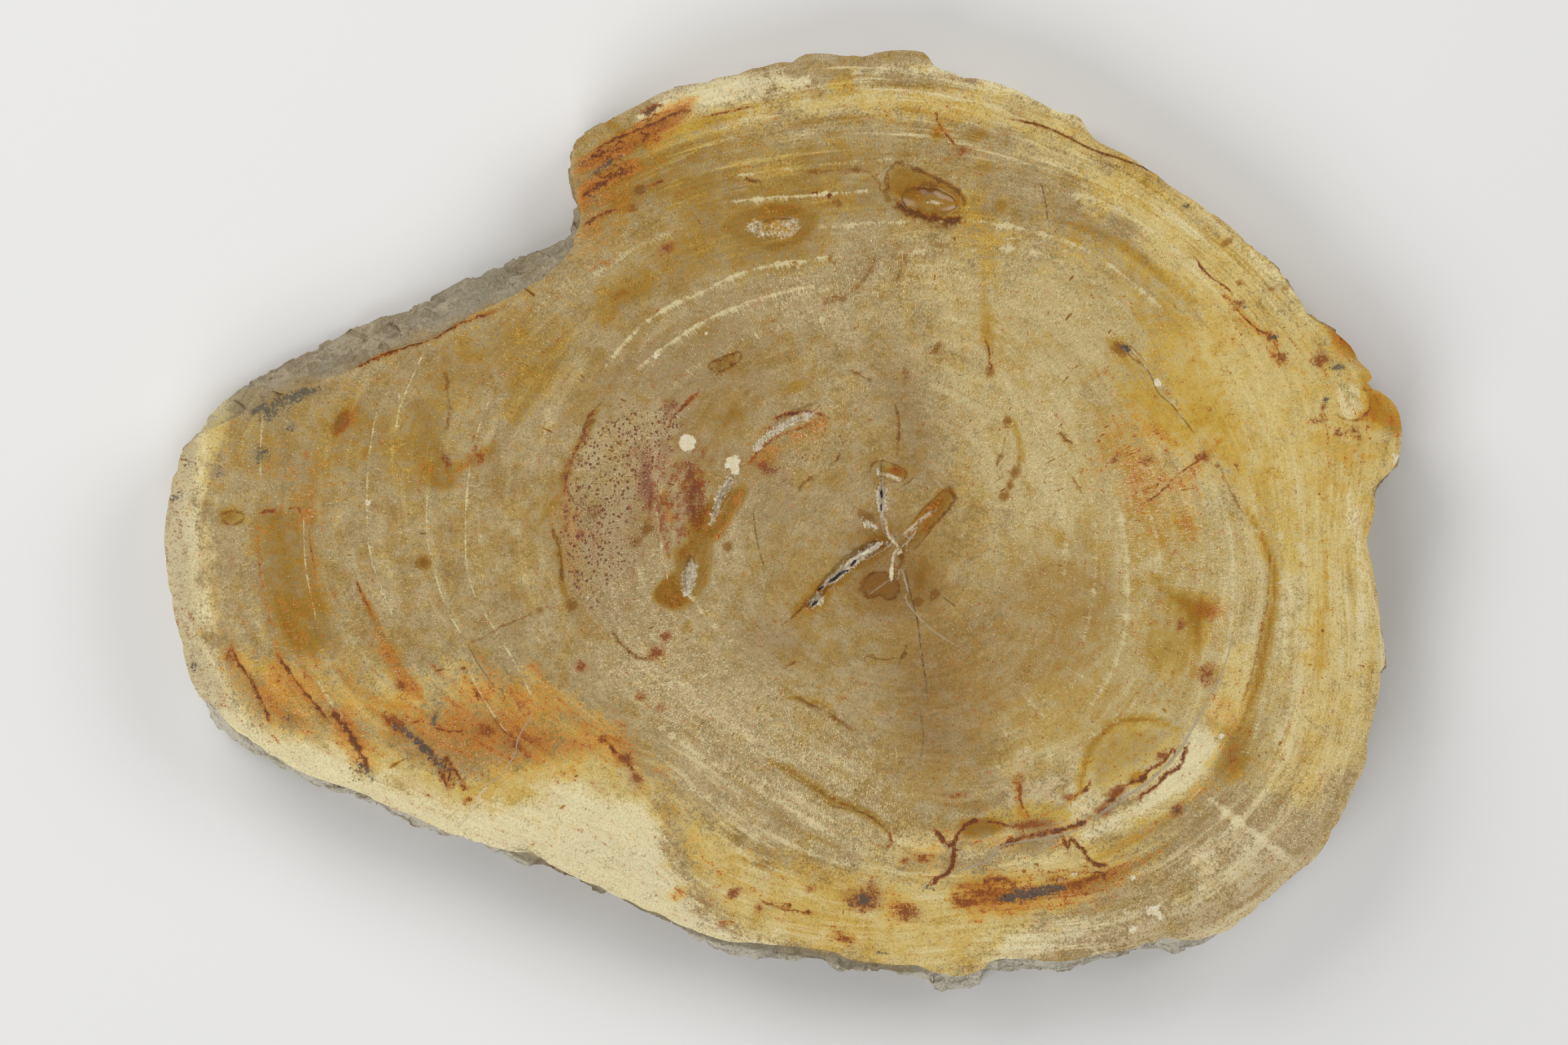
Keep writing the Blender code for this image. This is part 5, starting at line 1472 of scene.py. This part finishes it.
# %% Polished face, flecks and arcs
FLECK = rgb(0.700, 0.580, 0.320)
SPARK = rgb(0.900, 0.790, 0.500)
ARC = rgb(0.680, 0.575, 0.310)
DARK_BROWN = rgb(0.130, 0.055, 0.010)
BROWN = rgb(0.230, 0.105, 0.018)

face = Pattern("polished_face")
colour = ground(face)
mottle, grain, drift = face.mottle, face.grain, face.drift
rays = face.rays(9.0)
hairs = face.rays(3.0)
speck = face.grained.swing(4.0, 2.0, 0.7)
pale = (rays * 0.5 + speck * 0.5 + mottle * 0.35 + face.bands * 0.15 + face.flecked * 0.7).ramp(0.57, 1.17)
colour = (pale * (0.3 + 0.5 * face.flecked) * (1.0 - face.orange * 0.3)).over(colour, FLECK)
colour = (speck * 0.6 + grain * 0.6).ramp(-0.45, -1.0).over(colour, DARK_BROWN, 0.3)

arc_side, arc_strength = face.stored("arcs")[:2]
inner = (arc_side * -1.0).most(0.0)
outer = arc_side.most(0.0)
dashes = face.along_rings(24.0, 0.8)
teeth = 0.5 - face.rays(0.6) * 0.45
arc_level = arc_strength * (1.25 - outer * 0.9 - inner * teeth) + hairs * 0.3 + grain * 0.35 + dashes * 0.6
colour = (arc_level.ramp(0.45, 1.2) * (arc_strength * 3.0).least(0.85)).over(colour, ARC)
print("ground, flecks and arcs:", len(face.tree.nodes), "nodes")

# %% Polished face, stains
RUST = rgb(0.220, 0.060, 0.012)
RED_ORANGE = rgb(0.380, 0.125, 0.016)
DEEP_RED = rgb(0.100, 0.030, 0.012)
SLATE = rgb(0.080, 0.075, 0.060)
WINE = rgb(0.140, 0.036, 0.020)
WINE_STAIN = (0.62, 0.30, 0.22)
BROWN_STAIN = (0.62, 0.40, 0.15)

slate, wine, white = face.stored("mineral")
vein_side, vein_strength, crystal = face.stored("veins")
line_side, line_strength, crack_shade = face.stored("lines")
brown_side, brown_strength, brown = face.stored("browns")
red_side, red_strength, rust = face.stored("reds")
fray = mottle * 0.3 + grain * 0.3
breaks = face.grained.swing(0.6, 4.0) * 0.5


def line_level(side, strength):
    """How strongly a drawn line shows here. Noise bends it, frays it and breaks it up."""
    bent = abs(side + mottle * 1.1 + grain * 0.5)
    return strength * (1.35 - bent * 0.7) + breaks + fray * 0.8


wine_level = wine + mottle * 0.35 + face.streaks * 0.3 + rays * 0.2 + grain * 0.3
colour = wine_level.ramp(0.25, 0.8).glaze(colour, WINE_STAIN)
colour = wine_level.ramp(0.62, 1.12).over(colour, WINE, 0.85)
red_level = line_level(red_side, red_strength)
near_red = (red_strength * 4.0).least(1.0)
colour = (red_level.ramp(0.2, 0.8) * near_red).over(colour, RED_ORANGE, 0.8)
colour = (red_level.ramp(0.65, 1.15) * near_red).over(colour, DEEP_RED, 0.85)
colour = (rust + fray + face.streaks * 0.2).ramp(0.1, 0.45).over(colour, RED_ORANGE, 0.5)
colour = (rust + fray + face.streaks * 0.15).ramp(0.35, 0.7).over(colour, RUST, 0.9)
brown_level = line_level(brown_side, brown_strength)
near_brown = (brown_strength * 4.0).least(1.0)
colour = (brown_level.ramp(0.1, 0.8) * near_brown).glaze(colour, BROWN_STAIN, 0.75)
colour = (brown_level.ramp(0.75, 1.3) * near_brown).over(colour, DARK_BROWN, 0.75)
colour = (brown + fray * 0.7).ramp(0.15, 0.45).glaze(colour, BROWN_STAIN, 0.8)
colour = (brown + fray * 0.8).ramp(0.42, 0.72).over(colour, BROWN, 0.75)
slate_mask = (slate + fray * 1.2 + face.streaks * 0.1).ramp(0.42, 0.8)
colour = slate_mask.over(colour, SLATE, 0.85)
print("and stains:", len(face.tree.nodes), "nodes")

# %% Polished face, dots, branches and hairlines
DOT_GROUND = rgb(0.500, 0.370, 0.200)
DOT = rgb(0.150, 0.045, 0.020)
DOTS_PER_MM = 1.25

dotted = (face.dotted + drift * 0.3 + mottle * 0.3).ramp(0.4, 0.9)
colour = (dotted * (speck * 0.5 + grain * 0.5).ramp(-0.4, 0.6)).over(colour, DOT_GROUND, 0.6)
wobble = face.grained.node("ShaderNodeTexNoise", {}, {"Vector": face.grained, "Scale": 0.8}, 1)
dot_places = face.grained.vector("ADD", wobble)
dot_cells = {"Vector": dot_places, "Scale": DOTS_PER_MM}
dots = dot_places.node("ShaderNodeTexVoronoi", {}, dot_cells)
dot_size = dot_places.node("ShaderNodeTexVoronoi", {}, dot_cells, 1).parts()[0]
dot_level = 0.17 + dot_size * 0.28 + mottle * 0.08 + grain * 0.06 - dots
colour = (dot_level.ramp(-0.04, 0.06) * dotted).over(colour, DOT, 0.85)
branch = face.grained.swing(0.33, 5.0)
branch_mask = abs(branch).ramp(0.07, 0.02) * drift.ramp(0.3, 0.6)
colour = branch_mask.over(colour, DARK_BROWN, 0.5)
ticks = face.along_rings(38.0, 1.6, 2.0) + drift * 0.3 + face.flecked * 0.3
colour = ticks.ramp(1.3, 1.5).glaze(colour, BROWN_STAIN)
colour = ticks.ramp(1.5, 1.7).over(colour, DARK_BROWN, 0.6)
line_mask = abs(line_side + grain * 0.6).ramp(1.3, 0.4) * line_strength * mottle.ramp(-0.7, 0.1)
colour = line_mask.over(colour, DARK_BROWN, 0.85)
print("and dots, branches and hairlines:", len(face.tree.nodes), "nodes")

# %% Polished face, veins and crystals
VEIN = rgb(0.360, 0.300, 0.200)
WHITE_VEIN = rgb(0.620, 0.500, 0.310)
CRYSTAL = rgb(0.400, 0.330, 0.220)
QUARTZ = rgb(0.720, 0.640, 0.450)
WHITE = rgb(0.800, 0.765, 0.610)
CRACK_SHADE = rgb(0.025, 0.020, 0.016)
CRYSTALS_PER_MM = 1.1

vein_mask = abs(vein_side + mottle * 0.5 + grain * 0.5).ramp(1.4, 0.4)
vein_mask = vein_mask * (vein_strength * 1.3).least(1.0)
vein = vein_strength.ramp(0.75, 0.95).over(VEIN, WHITE_VEIN)
colour = (vein_mask * (mottle + grain * 0.5).ramp(-1.0, 0.2)).over(colour, vein, 0.9)
crystal_mask = (crystal + fray * 0.9).ramp(0.4, 0.62)
crystal_cells = {"Vector": face.grained, "Scale": CRYSTALS_PER_MM}
joints = face.grained.node("ShaderNodeTexVoronoi", {"feature": "DISTANCE_TO_EDGE"}, crystal_cells)
sugar = (speck * 0.4 + grain * 0.4 + mottle * 0.5).ramp(-0.5, 0.7)
gems = joints.ramp(0.12, 0.02).over(sugar.over(CRYSTAL, QUARTZ), DARK_BROWN, 0.3)
colour = crystal_mask.over(colour, gems, 0.9)
# White filled borings, and the painted highlight in the knot bowl.
colour = (white + fray * 0.35).ramp(0.42, 0.66).over(colour, sugar.over(FLECK, WHITE), 0.9)
# Painted shade: the deepest parts of the open cracks are painted almost black.
colour = (crack_shade + fray * 0.5).ramp(0.42, 0.6).over(colour, CRACK_SHADE)
spark = (rays * 0.5 + speck * 0.7 + mottle * 0.25 + face.flecked * 0.2 - crack_shade).ramp(0.8, 1.25)
colour = spark.over(colour, SPARK, 0.65)
colour = colour.scaled(1.0 + speck * 0.1)
print("and veins and crystals:", len(face.tree.nodes), "nodes")

# %% Polished face, gloss and relief
POLISH = 0.22
FACE_RELIEF = {"strength": 0.35, "relief": 0.05}

roughness = POLISH + 0.14 * pale + 0.1 * face.cream + 0.3 * crystal_mask
height = pale * 0.3 + sugar * crystal_mask * 2.0 + vein_mask * 0.6 + speck * 0.1
face.finish(colour, roughness, height, **FACE_RELIEF)

# %% [markdown]
# ## The broken wall
#
# Broken petrified wood is duller and greyer than the polished cut: dusty grey-tan, with painted highlights
# on the raised ledges, painted shade in the sunk joints that run with the grain down the wall, and a little
# of the face's own colour showing through.

# %% Broken wall
WALL_TAN = rgb(0.275, 0.205, 0.110)
WALL_GREY = rgb(0.290, 0.245, 0.160)
WALL_HIGHLIGHT = rgb(0.480, 0.400, 0.255)
WALL_CREVICE_SHADE = rgb(0.070, 0.050, 0.028)
WALL_CHALK = rgb(0.740, 0.680, 0.540)
WALL_DULLNESS = 0.78
WALL_RELIEF = {"strength": 0.7, "relief": 0.12}
# Fibres run down the wall, ledges run round it, and both are warped.
FIBRE_SHAPE = (1.0, 1.0, 0.16)
LEDGE_SHAPE = (0.3, 0.3, 1.2)
WARP = 7.0
# The polished face's rim is chipped over this much of the wall's top, in millimetres below it. That band
# is painted lighter: partly the pale of the chips, partly painted light on the upper ledge.
CREST = (2.2, 0.3)

wall = Pattern("broken_wall")
inner_colour = ground(wall)
fibres = wall.place.vector("MULTIPLY", FIBRE_SHAPE).swing(1.1, 4.0, 0.65)
ledges = wall.place.vector("MULTIPLY", LEDGE_SHAPE).swing(1.0, 4.0, 0.65)
lumps = wall.place.swing(0.3, 4.0)
grit = wall.place.swing(2.6, 4.0, 0.75)
bare = wall.stored("skin")[0]
warp = wall.place.node("ShaderNodeTexNoise", {}, {"Vector": wall.place, "Scale": 0.25, "Detail": 3.0}, 1)
bent = wall.place.vector("ADD", warp.scaled(WARP))
planes = bent.node("ShaderNodeTexVoronoi", {}, {"Vector": bent, "Scale": 0.16}, 1).parts()[0]
wall_colour = (wall.grained.swing(0.07) + lumps * 0.3).ramp(-0.3, 0.3).over(WALL_TAN, WALL_GREY)
wall_colour = (bare + lumps * 0.2).ramp(0.8, 0.2).over(wall_colour, inner_colour, 0.85)
# Painted highlight: where facets, ledges, fibres and grit stand up in the relief, the wall is painted
# lighter. Chalk shows on those raised parts too.
raised_and_highlit = planes * 0.8 - 0.5 + ledges * 0.6 + fibres * 0.5 + lumps * 0.3 + grit * 0.5
broken = 0.25 + 0.75 * bare.least(1.0)
chalky = (bare + lumps * 0.1).ramp(1.1, 1.5)
wall_colour = (raised_and_highlit.ramp(-0.6, 0.9) * broken).over(wall_colour, WALL_HIGHLIGHT, 0.85)
wall_colour = (chalky * raised_and_highlit.ramp(-1.3, 0.5)).over(wall_colour, WALL_CHALK, 0.9)
# Painted shade: where ledges, fibres and grit sink in the relief, the wall is painted almost black.
wall_colour = (ledges * 0.5 + fibres * 0.5 + grit * 0.5).ramp(-0.4, -1.0).over(wall_colour, WALL_CREVICE_SHADE, 0.85)
# Painted light on the wall's top band, mixed with the pale of the chipped rim.
chipped_lit_crest = (wall.z + lumps * 1.2 + grit * 0.8).ramp(THICKNESS / MM - CREST[0], THICKNESS / MM - CREST[1])
wall_colour = (chipped_lit_crest * broken).over(wall_colour, WALL_HIGHLIGHT, 0.5)
# The grit that raises the relief also lightens the colour there: partly grain, partly painted light.
wall_colour = wall_colour.scaled(1.0 + grit * 0.2)
wall_height = fibres * 0.4 + ledges * 0.6 + grit * 0.6 + planes * 0.5
wall.finish(wall_colour, WALL_DULLNESS + 0.08 * grit, wall_height, **WALL_RELIEF)

# %% [markdown]
# ## The sawn back
#
# The back was sawn and left. It shows the same rings and stains, paler and matte because the surface
# scatters light, and the shallow arcs that the saw left.

# %% Sawn back
DUST = rgb(0.450, 0.385, 0.265)
SAW_CENTRE = (-260.0, 120.0, 0.0)
SAW_PITCH = 2.3
SAWN_DULLNESS = 0.78
SAWN_RELIEF = {"strength": 0.5, "relief": 0.1}

back = Pattern("sawn_back")
back_colour = ground(back)
back_colour = back.stored("reds")[2].ramp(0.3, 0.8).over(back_colour, RUST, 0.5)
back_colour = (0.45 + 0.12 * back.mottle).over(back_colour, DUST)
from_saw = back.grained.vector("DISTANCE", SAW_CENTRE, 1)
passes = from_saw * (2.0 * math.pi / SAW_PITCH) + back.grained.swing(0.04, 1.0) * 1.5
saw = passes.math("SINE", passes)
saw_height = saw * 0.3 + back.grain * 0.15
# Painted shade and light: the colour is a little darker in the saw grooves and lighter on the ridges,
# following the saw relief.
back_colour = back_colour.scaled(1.0 + saw * 0.02)
back.finish(back_colour, SAWN_DULLNESS, saw_height, **SAWN_RELIEF)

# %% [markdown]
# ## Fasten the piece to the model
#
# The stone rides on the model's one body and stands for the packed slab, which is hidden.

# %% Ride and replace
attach(piece, "root")
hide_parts("petrified_wood_slice")
print(piece.name, "has", len(mesh.materials), "materials:", [material.name for material in mesh.materials])

# %% [markdown]
# ## Floor, light and camera
#
# A plain pale floor, large soft lights at the sides so that nothing glares in the polish, and a long lens
# straight above the face, as the photograph was taken.

# %% Floor
FLOOR_SIZE = 6.0
FLOOR_DROP = 0.15 * MM
FLOOR_PAINT = {"Base Color": rgb(0.80, 0.79, 0.77), "Roughness": 0.9}

floor_shape = bmesh.new()
bmesh.ops.create_grid(floor_shape, x_segments=1, y_segments=1, size=FLOOR_SIZE / 2)
bmesh.ops.translate(floor_shape, verts=floor_shape.verts, vec=(0.0, 0.0, -FLOOR_DROP))
floor_mesh = bpy.data.meshes.new("floor")
floor_shape.to_mesh(floor_mesh)
floor_shape.free()
floor = placed("floor", floor_mesh)
floor_paint = bpy.data.materials.new("pale_floor")
floor_paint.use_nodes = True
feed(floor_paint.node_tree.nodes["Principled BSDF"], FLOOR_PAINT)
floor_mesh.materials.append(floor_paint)
print("floor of", FLOOR_SIZE, "m,", round(FLOOR_DROP / MM, 2), "mm under the stone")

# %% Lights
LIGHT_DISTANCE = 1.1
LIGHT_SIZE = 0.8
# Each light's azimuth and elevation in degrees, and its power in watts.
LIGHTS = {"key_light": (-120, 48, 5.6), "fill_light": (30, 45, 4.3), "back_light": (130, 40, 6.0)}

for name, (azimuth, elevation, power) in LIGHTS.items():
    lamp = bpy.data.lights.new(name, "AREA")
    lamp.shape = "DISK"
    lamp.size = LIGHT_SIZE
    lamp.energy = power
    light = placed(name, lamp)
    flat = math.cos(math.radians(elevation))
    east, north = math.cos(math.radians(azimuth)), math.sin(math.radians(azimuth))
    light.location = LIGHT_DISTANCE * Vector((flat * east, flat * north, math.sin(math.radians(elevation))))
    light.rotation_euler = light.location.to_track_quat("Z", "Y").to_euler()
print("lights, watts:", {name: power for name, (_, _, power) in LIGHTS.items()})

# %% A little light from all round
SKY = {"Color": rgb(0.9, 0.93, 1.0), "Strength": 0.18}

world = bpy.data.worlds.new("soft_grey")
world.use_nodes = True
feed(world.node_tree.nodes["Background"], SKY)
bpy.context.scene.world = world
bpy.context.scene.view_settings.view_transform = "Standard"
print("light from all round, strength", SKY["Strength"])

# %% Camera
CAMERA_HEIGHT = 2.4
SENSOR_WIDTH = 36.0
VIEW_LIMIT = 20.0

camera = placed("camera", bpy.data.cameras.new("camera"))
camera.data.sensor_width = SENSOR_WIDTH
camera.data.lens = SENSOR_WIDTH * CAMERA_HEIGHT / (PHOTO_SIZE[0] * MM_PER_PIXEL * MM)
camera.data.clip_end = VIEW_LIMIT
camera.location = (0.0, 0.0, THICKNESS + CAMERA_HEIGHT)
bpy.context.scene.camera = camera
print("lens", round(camera.data.lens), "mm from", CAMERA_HEIGHT, "m above")
